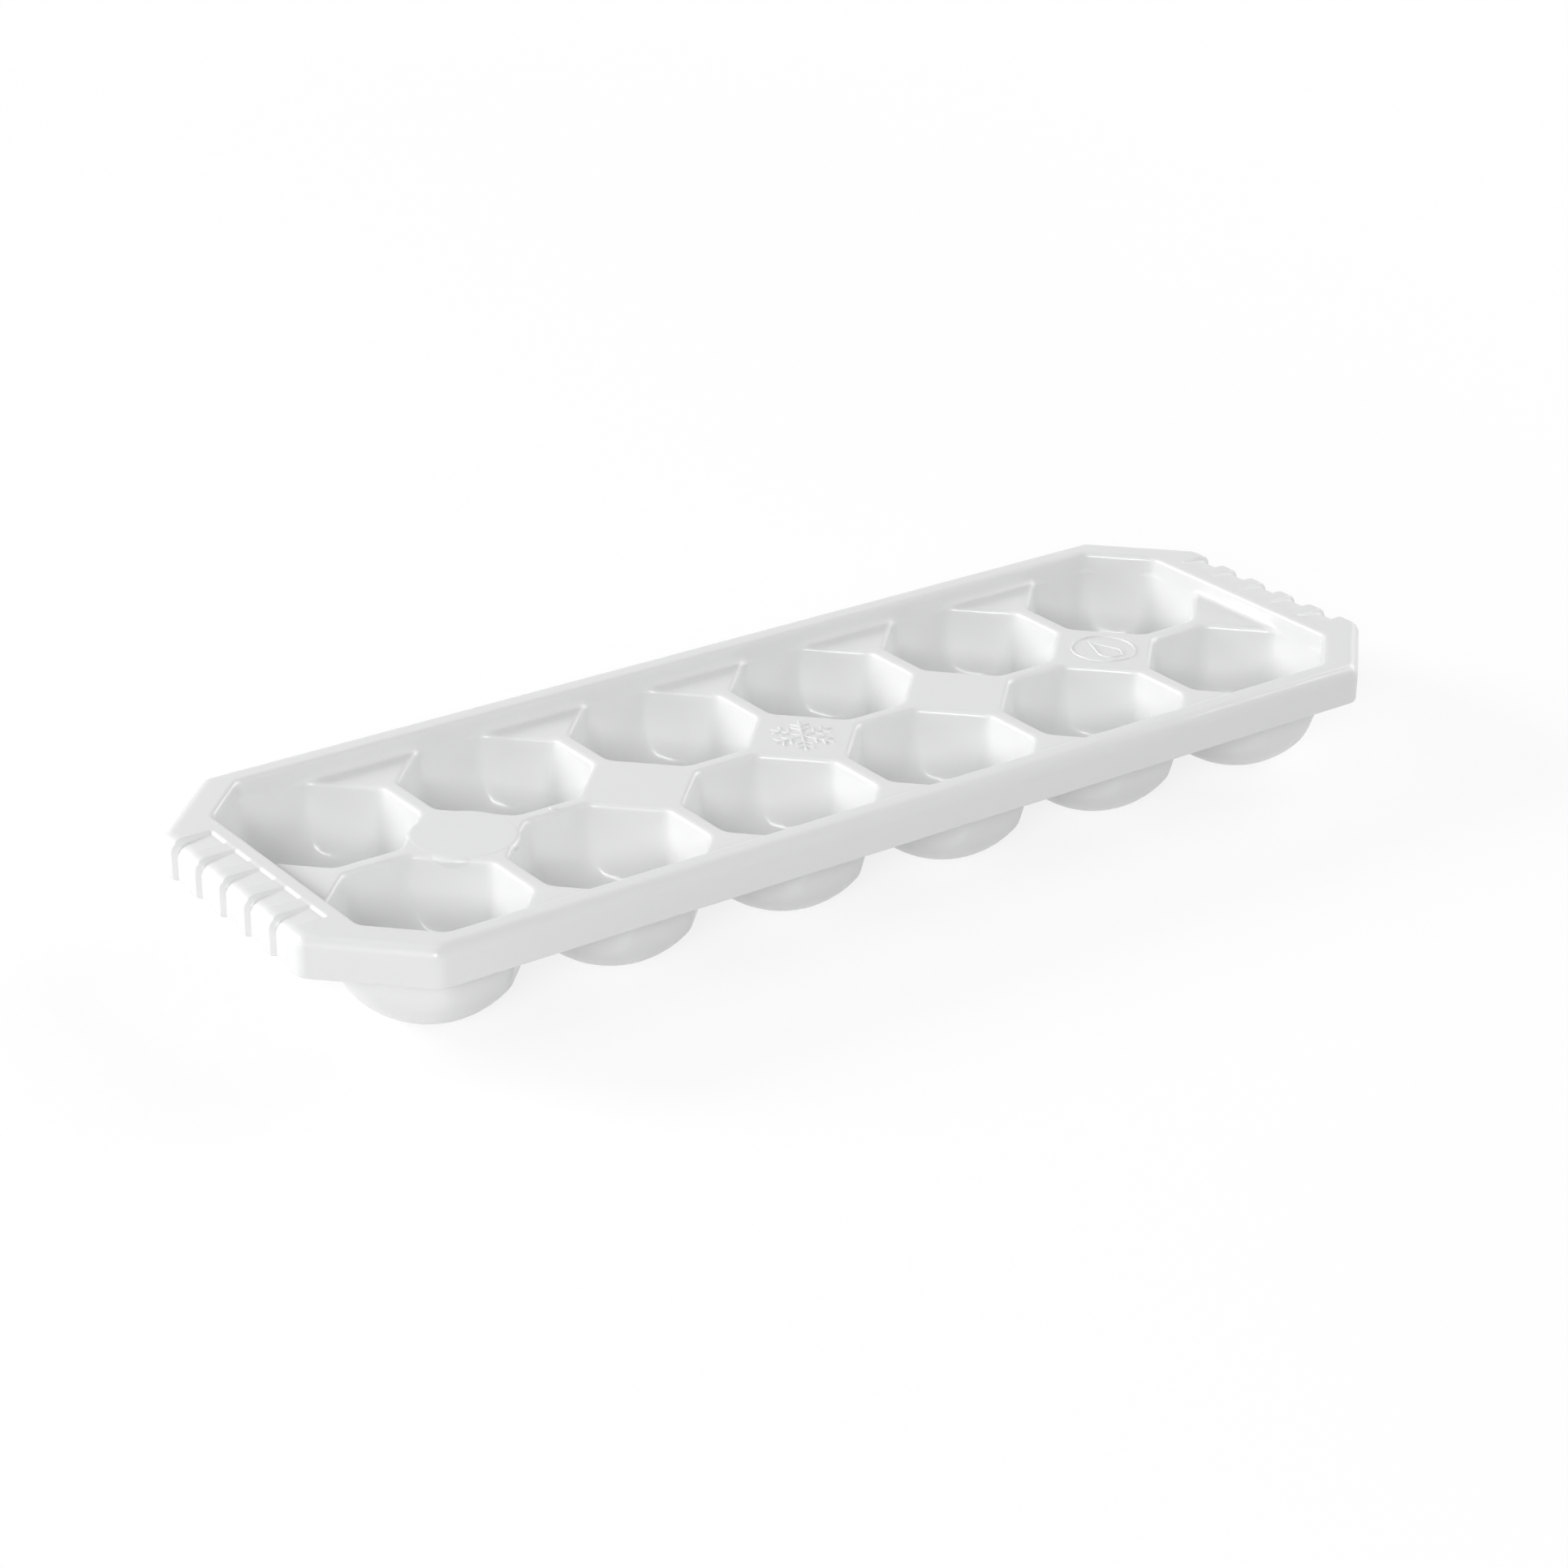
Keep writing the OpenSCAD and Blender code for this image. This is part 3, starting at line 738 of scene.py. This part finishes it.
def add_outer_rim(whole, s, piece, rim_lines):
    """Ledge, skirt and channel of one piece of the rim, joined to its inner wall."""
    flip = np.array([*PIECES_OF_RIM[piece], 1])
    kind = piece.split("_")[0]

    def place_along(number):
        """Value that puts the points of the wall's upper edge in order along the piece."""
        x, y, _ = whole.points[number] * flip
        if kind == "corner":
            return math.atan2(y - TRAY_HALF_Y + CORNER_MIDDLE[1], x - TRAY_HALF_X + CORNER_MIDDLE[0])
        return x if kind == "rim" else y

    lines = []
    for skin in (0, 1):
        columns = {column[-1]: column for rows in rim_lines[(piece, skin)] for column in rows.T.tolist()}
        lines.append([columns[number] for number in sorted(columns, key=place_along)])
    first, last = (whole.points[lines[0][i][-1]] * flip for i in (0, -1))
    outline = Outline(s, kind, {"rim": abs(last[0]), "grip": abs(last[1])}.get(kind, (first[1], last[0])))
    grids, besides = [], [[], []]
    for skin in (0, 1):
        profile, extra = outer_profile(s, skin), groove_profile(s, skin)
        if kind == "grip":
            profile = extra + profile
        points = np.array([raised(outline.at(inset), z) for inset, z in profile])
        grids.append(grooved(points, s, skin) if kind == "grip" else points)
        if kind == "corner":
            besides[skin] = np.array([[TRAY_HALF_X - inset, first[1], z] for inset, z in extra])
    lowest = (grids[0][-1] + grids[1][-1]) / 2 - np.array([0, 0, EDGE_MIDDLE])
    numbers = [whole.add(np.concatenate([points, lowest[None]]) * flip) for points in grids]
    for skin in (0, 1):
        whole.grid(piece, numbers[skin])
        beside = whole.add(besides[skin] * flip).tolist() if kind == "corner" else []
        ledge = [column[-1] for column in lines[skin]]
        whole.face(piece, ledge + numbers[skin][0].tolist()[::-1] + beside[::-1])
        lines[skin][0] = lines[skin][0] + beside
    for end in (0, -1):
        columns = [lines[skin][end] + numbers[skin][:, end].tolist() for skin in (0, 1)]
        whole.grid(piece, np.array(columns), hidden=True)


def part_meshes(whole):
    """One closed mesh for each piece, shaded as the one moulding that they form."""
    points = np.array(whole.points) * MM
    normal_sum = np.zeros_like(points)
    made = {}
    for piece, faces in whole.faces.items():
        used = sorted({n for face, _ in faces for n in face})
        local = {n: i for i, n in enumerate(used)}
        mesh = bpy.data.meshes.new(piece + "_shell")
        mesh.from_pydata(points[used].tolist(), [], [[local[n] for n in face] for face, _ in faces])
        bm = bmesh.new()
        bm.from_mesh(mesh)
        bmesh.ops.recalc_face_normals(bm, faces=bm.faces)
        bm.to_mesh(mesh)
        bm.free()
        count = len(mesh.polygons)
        normals, areas, totals = np.empty(count * 3), np.empty(count), np.empty(count, int)
        mesh.polygons.foreach_get("normal", normals)
        mesh.polygons.foreach_get("area", areas)
        mesh.polygons.foreach_get("loop_total", totals)
        loops = np.empty(len(mesh.loops), int)
        mesh.loops.foreach_get("vertex_index", loops)
        normals, world = normals.reshape(-1, 3), np.array(used)[loops]
        owner = np.repeat(np.arange(count), totals)
        shown = np.array([not hidden for _, hidden in faces])[owner]
        np.add.at(normal_sum, world[shown], (normals * areas[:, None])[owner[shown]])
        made[piece] = (mesh, world, owner, shown, normals)
    normal_sum /= np.maximum(np.linalg.norm(normal_sum, axis=1), 1e-12)[:, None]
    for mesh, world, owner, shown, normals in made.values():
        mesh.shade_smooth()
        mesh.normals_split_custom_set(np.where(shown[:, None], normal_sum[world], normals[owner]).tolist())
    return {piece: values[0] for piece, values in made.items()}


# Shader groups and materials

WHITE = (1, 1, 1, 1)


def add(tree, kind, inputs, **settings):
    """New shader node with these settings, each input linked to a socket or set to a value."""
    node = tree.nodes.new("ShaderNode" + kind)
    for name, value in settings.items():
        setattr(node, name, value)
    for name, value in inputs.items():
        if isinstance(value, bpy.types.NodeSocket):
            tree.links.new(value, node.inputs[name])
        else:
            node.inputs[name].default_value = value
    return node


def seen_directly(tree):
    """1 for what the camera sees, also in gloss and through glass, and 0 for light that falls on the tray."""
    path = add(tree, "LightPath", {})
    total = path.outputs["Is Camera Ray"]
    for name in ("Is Glossy Ray", "Is Transmission Ray"):
        total = add(tree, "Math", {0: total, 1: path.outputs[name]}, operation="MAXIMUM").outputs[0]
    return total


def moulded_finish_group():
    """Slow tint drift, fine mottling and shrink waves of a moulded surface."""
    tree = bpy.data.node_groups.new("moulded finish", "ShaderNodeTree")
    grey = (0.8, 0.8, 0.8, 1)
    for label, kind, value in (("Colour", "Color", grey), ("Flow tint", "Color", grey),
                               ("Roughness", "Float", 0.25), ("Variation", "Float", 0.04),
                               ("Waviness", "Float", 0.05)):
        socket = tree.interface.new_socket(label, in_out="INPUT", socket_type="NodeSocket" + kind)
        socket.default_value = value
    for label, kind in (("Colour", "Color"), ("Roughness", "Float"), ("Normal", "Vector")):
        tree.interface.new_socket(label, in_out="OUTPUT", socket_type="NodeSocket" + kind)
    given = tree.nodes.new("NodeGroupInput").outputs
    place = add(tree, "TexCoord", {}).outputs["Object"]
    drift, mottle, wave, grain = (
        add(tree, "TexNoise", {"Vector": place, "Scale": scale, "Detail": detail}).outputs["Fac"]
        for scale, detail in ((22, 2), (420, 3), (95, 1), (2600, 2)))
    tint = add(tree, "Mix", {"Factor": drift, "A": given["Colour"], "B": given["Flow tint"]},
               data_type="RGBA")
    centred = add(tree, "Math", {0: mottle, 1: 0.5}, operation="SUBTRACT")
    spread = add(tree, "Math", {0: centred.outputs[0], 1: given["Variation"], 2: given["Roughness"]},
                 operation="MULTIPLY_ADD")
    slow = add(tree, "Bump", {"Height": wave, "Strength": given["Waviness"], "Distance": 0.0002})
    fine = add(tree, "Bump", {"Height": grain, "Strength": 0.05, "Distance": 0.00002,
                              "Normal": slow.outputs["Normal"]})
    result = tree.nodes.new("NodeGroupOutput").inputs
    for label, out in (("Colour", tint.outputs["Result"]), ("Roughness", spread.outputs[0]),
                       ("Normal", fine.outputs["Normal"])):
        tree.links.new(out, result[label])
    return tree


def tray_plastic():
    """Glossy white plastic of the whole tray."""
    name = "white moulded plastic"
    if name in bpy.data.materials:
        return bpy.data.materials[name]
    finish = bpy.context.scene.tray_finish
    material = bpy.data.materials.new(name)
    material.use_nodes = True
    tree = material.node_tree
    surface = tree.nodes["Principled BSDF"].inputs
    group = add(tree, "Group", {
        "Colour": (*finish.plastic, 1), "Flow tint": (*finish.shade, 1), "Roughness": finish.roughness,
        "Variation": 0.06, "Waviness": finish.waviness}, node_tree=moulded_finish_group())
    tree.links.new(group.outputs["Colour"], surface["Base Color"])
    tree.links.new(group.outputs["Roughness"], surface["Roughness"])
    tree.links.new(group.outputs["Normal"], surface["Normal"])
    surface["IOR"].default_value = 1.49
    surface["Coat Weight"].default_value = finish.coat
    surface["Coat Roughness"].default_value = finish.coat_roughness
    return material


def show(name, mesh, *nodes):
    """Object for a finished mesh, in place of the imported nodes."""
    piece = bpy.data.objects.new(name, mesh)
    bpy.context.scene.collection.objects.link(piece)
    mesh.materials.clear()
    mesh.materials.append(tray_plastic())
    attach(piece, BODY)
    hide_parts(*nodes)


def show_moulding(*pieces):
    """Pieces of the moulding in place of the nodes of the same names."""
    for piece in pieces:
        show(piece + "_shell", moulding_meshes()[piece], piece)


# Raised marks, lengths in millimetres

MARK_SINK = 0.2  # how far the marks reach into the deck
PIP_EDGE = 0.2  # radius of the pip's edge
PAD_STATIONS = 144
PAD_FADE = (12, 26)  # degrees from a mouth's slanted side over which the pad's side gets less deep
PAD_SEAT = 1.15  # depth of the pad's lower face
PAD_LEAST = 0.05  # depth of the pad's side away from the mouths
PAD_ROWS = (0.3, 0.6, 0.85)  # rows on the pad's top, as shares of its radius
PAD_MARGIN = 0.15  # distance of the last row on the top from the edge's rounding
PAD_EDGE_ANGLES = (0, 15, 30, 45, 60, 75, 88)
PAD_SIDE_ROWS = ((0.06, 0.05), (0.18, 0.3), (0.36, 0.6), (0.62, 1), (1.3, 1))  # insets, shares of the depth
SNOWFLAKE_TURN = math.radians(60)
TWIG_PLACES = (0.42, 0.68)  # where the twigs leave an arm, as shares of its length
TWIG_LENGTH = 0.27  # the same for the twigs' length
DROP_SHARE = 0.72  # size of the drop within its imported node


def soft_prism(name, outline, low, high, radius, steps=4):
    """Closed mesh of an outline raised from low to high, the upper edge rounded."""
    bm = bmesh.new()
    base = bm.faces.new([bm.verts.new((*point, low)) for point in outline])
    lifted = bmesh.ops.extrude_face_region(bm, geom=[base])["geom"]
    top = [v for v in lifted if isinstance(v, bmesh.types.BMVert)]
    bmesh.ops.translate(bm, vec=(0, 0, high - low), verts=top)
    rim = [e for e in lifted if isinstance(e, bmesh.types.BMEdge)]
    bmesh.ops.bevel(bm, geom=rim, offset=radius, segments=steps, profile=0.5, affect="EDGES")
    return finished(bm, name)


def finished(bm, name):
    """Smooth mesh from a bmesh, its hard edges kept."""
    bmesh.ops.recalc_face_normals(bm, faces=bm.faces)
    mesh = bpy.data.meshes.new(name)
    bm.to_mesh(mesh)
    bm.free()
    mesh.shade_smooth()
    mesh.set_sharp_from_angle(angle=math.radians(40))
    return mesh


def band(bm, first, second):
    """Faces between two closed rings of vertices."""
    for i in range(len(first)):
        bm.faces.new((first[i - 1], first[i], second[i], second[i - 1]))


def on_circle(centre, radius, angles):
    """Points on a circle at these angles."""
    return [centre + Vector((math.cos(a), math.sin(a))) * radius for a in angles]


def all_round(count):
    """Angles all round a circle."""
    return np.linspace(0, 2 * math.pi, count, endpoint=False)


def node_middle(name):
    """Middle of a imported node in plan, and the corners of its box."""
    low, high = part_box(name)
    return (low + high).xy / 2, low, high


class TRAY_OT_deck(bpy.types.Operator):
    """Deck between the cups, with its twelve soft-lipped mouths."""

    bl_idname = "tray.deck"
    bl_label = "Deck"

    def execute(self, context):
        show_moulding("deck")
        return {"FINISHED"}


class TRAY_OT_cups(bpy.types.Operator):
    """Twelve cups whose eight flat sides melt into a round bowl."""

    bl_idname = "tray.cups"
    bl_label = "Cups"

    def execute(self, context):
        show_moulding(*[f"cup_{row}_{i}" for row in ("front", "back") for i in range(1, COLUMNS + 1)])
        return {"FINISHED"}


class TRAY_OT_sides(bpy.types.Operator):
    """Rim along the two long sides, with its skirt."""

    bl_idname = "tray.sides"
    bl_label = "Long sides"

    def execute(self, context):
        show_moulding("rim_front", "rim_back")
        return {"FINISHED"}


class TRAY_OT_grips(bpy.types.Operator):
    """Ends of the rim with their finger grooves."""

    bl_idname = "tray.grips"
    bl_label = "End grips"

    def execute(self, context):
        show_moulding("grip_left", "grip_right")
        return {"FINISHED"}


class TRAY_OT_corners(bpy.types.Operator):
    """Rim across the four cut corners."""

    bl_idname = "tray.corners"
    bl_label = "Cut corners"

    def execute(self, context):
        show_moulding(*[f"corner_{row}_{hand}" for row in ("front", "back") for hand in ("left", "right")])
        return {"FINISHED"}


class TRAY_OT_marks(bpy.types.Operator):
    """Round pad, plain snowflake, plain drop and small pip raised from the deck."""

    bl_idname = "tray.marks"
    bl_label = "Raised marks"

    def execute(self, context):
        sizes = context.scene.tray_sizes
        for mark in (self.pad, self.pip, self.snowflake, self.drop):
            mark(sizes)
        return {"FINISHED"}

    def pad(self, sizes):
        """Low round pad. Where it bulges into the four mouths beside it, its side runs down their walls."""
        middle, low, _ = node_middle("round_pad")
        top, seat = low.z + sizes.pad_height, low.z - PAD_SEAT * MM
        r, edge, inner = sizes.pad_radius, sizes.pad_round, sizes.pad_radius - PAD_SIDE_ROWS[-1][0] * MM
        angles, level = all_round(PAD_STATIONS), np.ones(PAD_STATIONS)
        off_slant = np.abs((np.degrees(angles) % 90) - 45)
        fade = ease((PAD_FADE[1] - off_slant) / (PAD_FADE[1] - PAD_FADE[0]))
        deep = sizes.pad_side * fade + PAD_LEAST * MM
        rings = [(r * part, top * level) for part in PAD_ROWS] + [(r - edge - PAD_MARGIN * MM, top * level)]
        rings += [(r - edge * (1 - math.sin(a)), (top - edge * (1 - math.cos(a))) * level)
                  for a in np.radians(PAD_EDGE_ANGLES)]
        rings += [(r - inset * MM, seat - deep * part) for inset, part in PAD_SIDE_ROWS]
        rings += [(inner, seat * level), (r * 0.5, seat * level)]
        bm = bmesh.new()
        loops = [[bm.verts.new((middle.x + radius * math.cos(a), middle.y + radius * math.sin(a), z))
                  for a, z in zip(angles, heights)] for radius, heights in rings]
        for first, second in zip(loops[:-1], loops[1:]):
            band(bm, first, second)
        for ring, z in ((loops[0], top), (loops[-1], seat)):
            centre = bm.verts.new((*middle, z))
            for i in range(len(ring)):
                bm.faces.new((ring[i - 1], ring[i], centre))
        show("round_pad_soft", finished(bm, "round_pad_soft"), "round_pad")

    def pip(self, sizes):
        """Small round pip between four mouths."""
        middle, low, high = node_middle("web_pip")
        mesh = soft_prism("web_pip_soft", on_circle(middle, (high.x - low.x) / 2, all_round(32)),
                          low.z - MARK_SINK * MM, high.z, PIP_EDGE * MM)
        show("web_pip_soft", mesh, "web_pip")

    def snowflake(self, sizes):
        """Six arms with two pairs of twigs each, drawn as one line round them all."""
        middle, low, high = node_middle("snowflake_mark")
        reach, half = (high.x - low.x) / 2, sizes.mark_line / 2
        slant, along = SNOWFLAKE_TURN, Vector((math.cos(SNOWFLAKE_TURN), math.sin(SNOWFLAKE_TURN)))

        def cap(centre, heading):
            """Round end of a line, from its left side to its right."""
            return on_circle(centre, half, heading + np.radians(np.linspace(90, -90, 7)))

        left = [Vector((half / math.tan(slant / 2), half))]
        for part in TWIG_PLACES:
            root = reach * part
            left.append(Vector((root - half * math.tan(slant / 2), half)))
            left += cap(Vector((root, 0)) + along * reach * TWIG_LENGTH, slant)
            left.append(Vector((root + half / math.tan(slant / 2), half)))
        arm = [Vector((p.x, -p.y)) for p in left] + cap(Vector((reach - half, 0)), 0)[::-1] + left[:0:-1]
        outline = [middle + Matrix.Rotation(slant * turned, 2) @ p for turned in range(6) for p in arm]
        mesh = soft_prism("snowflake_soft", outline, low.z - MARK_SINK * MM, low.z + sizes.mark_height,
                          sizes.mark_round, 3)
        show("snowflake_soft", mesh, "snowflake_mark")

    def drop(self, sizes):
        """Drop drawn as a raised line, with a thin ring round it."""
        middle, low, high = node_middle("drop_mark")
        end_r, tip = (high.x - low.x) / 2 * DROP_SHARE, (high.y - middle.y) * DROP_SHARE
        centre = Vector((middle.x, middle.y - tip + end_r))
        point = 2 * tip - end_r
        touch = math.acos(end_r / point)
        sweep = np.linspace(math.pi / 2 + touch, 2.5 * math.pi - touch, 65)
        lines = [on_circle(centre, r, sweep) + [centre + Vector((0, point * r / end_r))]
                 for r in (end_r, end_r - sizes.mark_line)]
        rings = [on_circle(middle, r, all_round(96))
                 for r in (sizes.ring_radius, sizes.ring_radius - sizes.ring_line)]
        bm = bmesh.new()
        self.raised_line(bm, *lines, sizes.mark_line, low.z, sizes)
        self.raised_line(bm, *rings, sizes.ring_line, low.z, sizes)
        show("drop_soft", finished(bm, "drop_soft"), "drop_mark")

    def raised_line(self, bm, outer, inner, width, base, sizes):
        """Closed line between two outlines, raised from the deck with rounded edges."""
        r, top = sizes.mark_round, base + sizes.mark_height
        profile = [(0, base - MARK_SINK * MM), (0, top - r)]
        profile += [(r * (1 - math.cos(a)), top - r * (1 - math.sin(a))) for a in np.radians((30, 60, 90))]
        section = [(inset / width, z) for inset, z in profile]
        section += [(1 - inset / width, z) for inset, z in reversed(profile)]
        layers = [[bm.verts.new((*o.lerp(i, t), z)) for o, i in zip(outer, inner)] for t, z in section]
        for first, second in zip(layers, layers[1:] + layers[:1]):
            band(bm, first, second)


# Places and sizes of the lamps in metres, their power by the panel's name
LAMPS = (
    ("key", (-1.1, 1.1, 0.7), (0.6, 0.6)),
    ("fill", (-1.1, -1.1, 0.7), (0.5, 0.5)),
    ("edge", (0.8, -0.2, 0.84), (0.1, 0.1)),
    ("side", (1.5, 0.0, 0.8), (1.4, 1.0)),
    ("top", (0.0, 0.0, 1.6), (1.2, 1.2)),
)
FLOOR_LIT = 0.82  # brightness of the open floor under the lamps alone, as a share of white


class TRAY_OT_stage(bpy.types.Operator):
    """Camera, soft lamps and a plain pale floor."""

    bl_idname = "tray.stage"
    bl_label = "Stage"

    def execute(self, context):
        stage = context.scene.tray_stage
        self.camera(context, stage)
        self.lamps(context, stage)
        self.world(context, stage)
        self.floor(context, stage)
        context.scene.view_settings.view_transform = "Standard"
        return {"FINISHED"}

    def camera(self, context, stage):
        """Camera at the photograph's viewing angle."""
        data = bpy.data.cameras.new("camera")
        data.sensor_width = 36
        data.lens = stage.lens
        data.clip_start, data.clip_end = 0.01, 20
        camera = bpy.data.objects.new("camera", data)
        context.scene.collection.objects.link(camera)
        a, e = -stage.azimuth, stage.elevation
        ahead = Vector((math.sin(a) * math.cos(e), math.cos(a) * math.cos(e), -math.sin(e)))
        right = ahead.cross(Vector((0, 0, 1))).normalized()
        up = right.cross(ahead)
        c, s = math.cos(stage.roll), math.sin(stage.roll)
        right, up = right * c + up * s, up * c - right * s
        turned = Matrix((right, up, -ahead)).transposed().to_4x4()
        target = Vector((stage.target_x, stage.target_y, TRAY_TOP * MM))
        camera.matrix_world = Matrix.Translation(target - ahead * stage.distance) @ turned
        context.scene.camera = camera

    def lamps(self, context, stage):
        """Soft lamps that face the tray, the strongest at the back left."""
        for name, place, size in LAMPS:
            data = bpy.data.lights.new(name + " lamp", "AREA")
            data.shape = "RECTANGLE"
            data.size, data.size_y = size
            data.energy = getattr(stage, name)
            lamp = bpy.data.objects.new(name + " lamp", data)
            context.scene.collection.objects.link(lamp)
            lamp.location = place
            lamp.rotation_euler = (-Vector(place)).to_track_quat("-Z", "Y").to_euler()

    def world(self, context, stage):
        """Even light from the sky, which the camera sees as plain white."""
        world = bpy.data.worlds.new("studio")
        context.scene.world = world
        world.use_nodes = True
        tree = world.node_tree
        tree.nodes.clear()
        place = add(tree, "TexCoord", {})
        split = add(tree, "SeparateXYZ", {0: place.outputs["Generated"]})
        fade = add(tree, "MapRange", {"Value": split.outputs["Z"], "To Min": stage.horizon,
                                      "To Max": stage.zenith})
        even = add(tree, "Background", {"Color": WHITE, "Strength": fade.outputs["Result"]})
        white = add(tree, "Background", {"Color": WHITE})
        mix = add(tree, "MixShader", {"Fac": seen_directly(tree), 1: even.outputs[0], 2: white.outputs[0]})
        add(tree, "OutputWorld", {"Surface": mix.outputs[0]})

    def floor(self, context, stage):
        """Plain floor that shows white and keeps the tray's soft shadow."""
        bm = bmesh.new()
        bmesh.ops.create_grid(bm, x_segments=1, y_segments=1, size=3)
        mesh = bpy.data.meshes.new("floor")
        bm.to_mesh(mesh)
        bm.free()
        floor = bpy.data.objects.new("floor", mesh)
        floor.location.z = -stage.floor_gap
        context.scene.collection.objects.link(floor)
        material = bpy.data.materials.new("studio floor")
        material.use_nodes = True
        tree = material.node_tree
        tree.nodes.clear()
        place = add(tree, "NewGeometry", {})
        reach = add(tree, "VectorMath", {0: place.outputs["Position"]}, operation="LENGTH")
        shadow, light = (
            add(tree, "MapRange", {"Value": reach.outputs["Value"], "From Min": stage.shadow_near,
                                   "From Max": stage.shadow_far, "To Min": near, "To Max": far})
            for near, far in ((stage.shadow, 0), (1 - stage.shadow * FLOOR_LIT, 1)))
        matt = add(tree, "BsdfDiffuse", {"Color": shadow.outputs["Result"]})
        glow = add(tree, "Emission", {"Strength": light.outputs["Result"]})
        bright = add(tree, "AddShader", {0: matt.outputs[0], 1: glow.outputs[0]})
        bounce = add(tree, "BsdfDiffuse", {"Color": (*stage.bounce, 1)})
        mix = add(tree, "MixShader", {"Fac": seen_directly(tree), 1: bounce.outputs[0], 2: bright.outputs[0]})
        add(tree, "OutputMaterial", {"Surface": mix.outputs[0]})
        mesh.materials.append(material)


OPERATORS = (TRAY_OT_deck, TRAY_OT_cups, TRAY_OT_sides, TRAY_OT_grips, TRAY_OT_corners, TRAY_OT_marks,
             TRAY_OT_stage)


class TRAY_PT_panel(bpy.types.Panel):
    """Lists the tray's pieces and their sizes in the sidebar."""

    bl_idname = "TRAY_PT_panel"
    bl_label = "Ice cube tray"
    bl_space_type = "VIEW_3D"
    bl_region_type = "UI"
    bl_category = "Ice cube tray"

    def draw(self, context):
        for operator in OPERATORS:
            self.layout.operator(operator.bl_idname)
        for group in (context.scene.tray_sizes, context.scene.tray_finish, context.scene.tray_stage):
            box = self.layout.box()
            for name in group.bl_rna.properties.keys():
                if name not in {"rna_type", "name"}:
                    box.prop(group, name)


GROUPS = {"tray_sizes": TraySizes, "tray_finish": TrayFinish, "tray_stage": TrayStage}
CLASSES = (*GROUPS.values(), *OPERATORS, TRAY_PT_panel)


def register():
    for cls in CLASSES:
        bpy.utils.register_class(cls)
    for name, group in GROUPS.items():
        setattr(bpy.types.Scene, name, PointerProperty(type=group))


def unregister():
    for name in GROUPS:
        delattr(bpy.types.Scene, name)
    for cls in reversed(CLASSES):
        bpy.utils.unregister_class(cls)


def main():
    register()
    for operator in OPERATORS:
        family, name = operator.bl_idname.split(".")
        getattr(getattr(bpy.ops, family), name)()


if __name__ == "__main__":
    main()
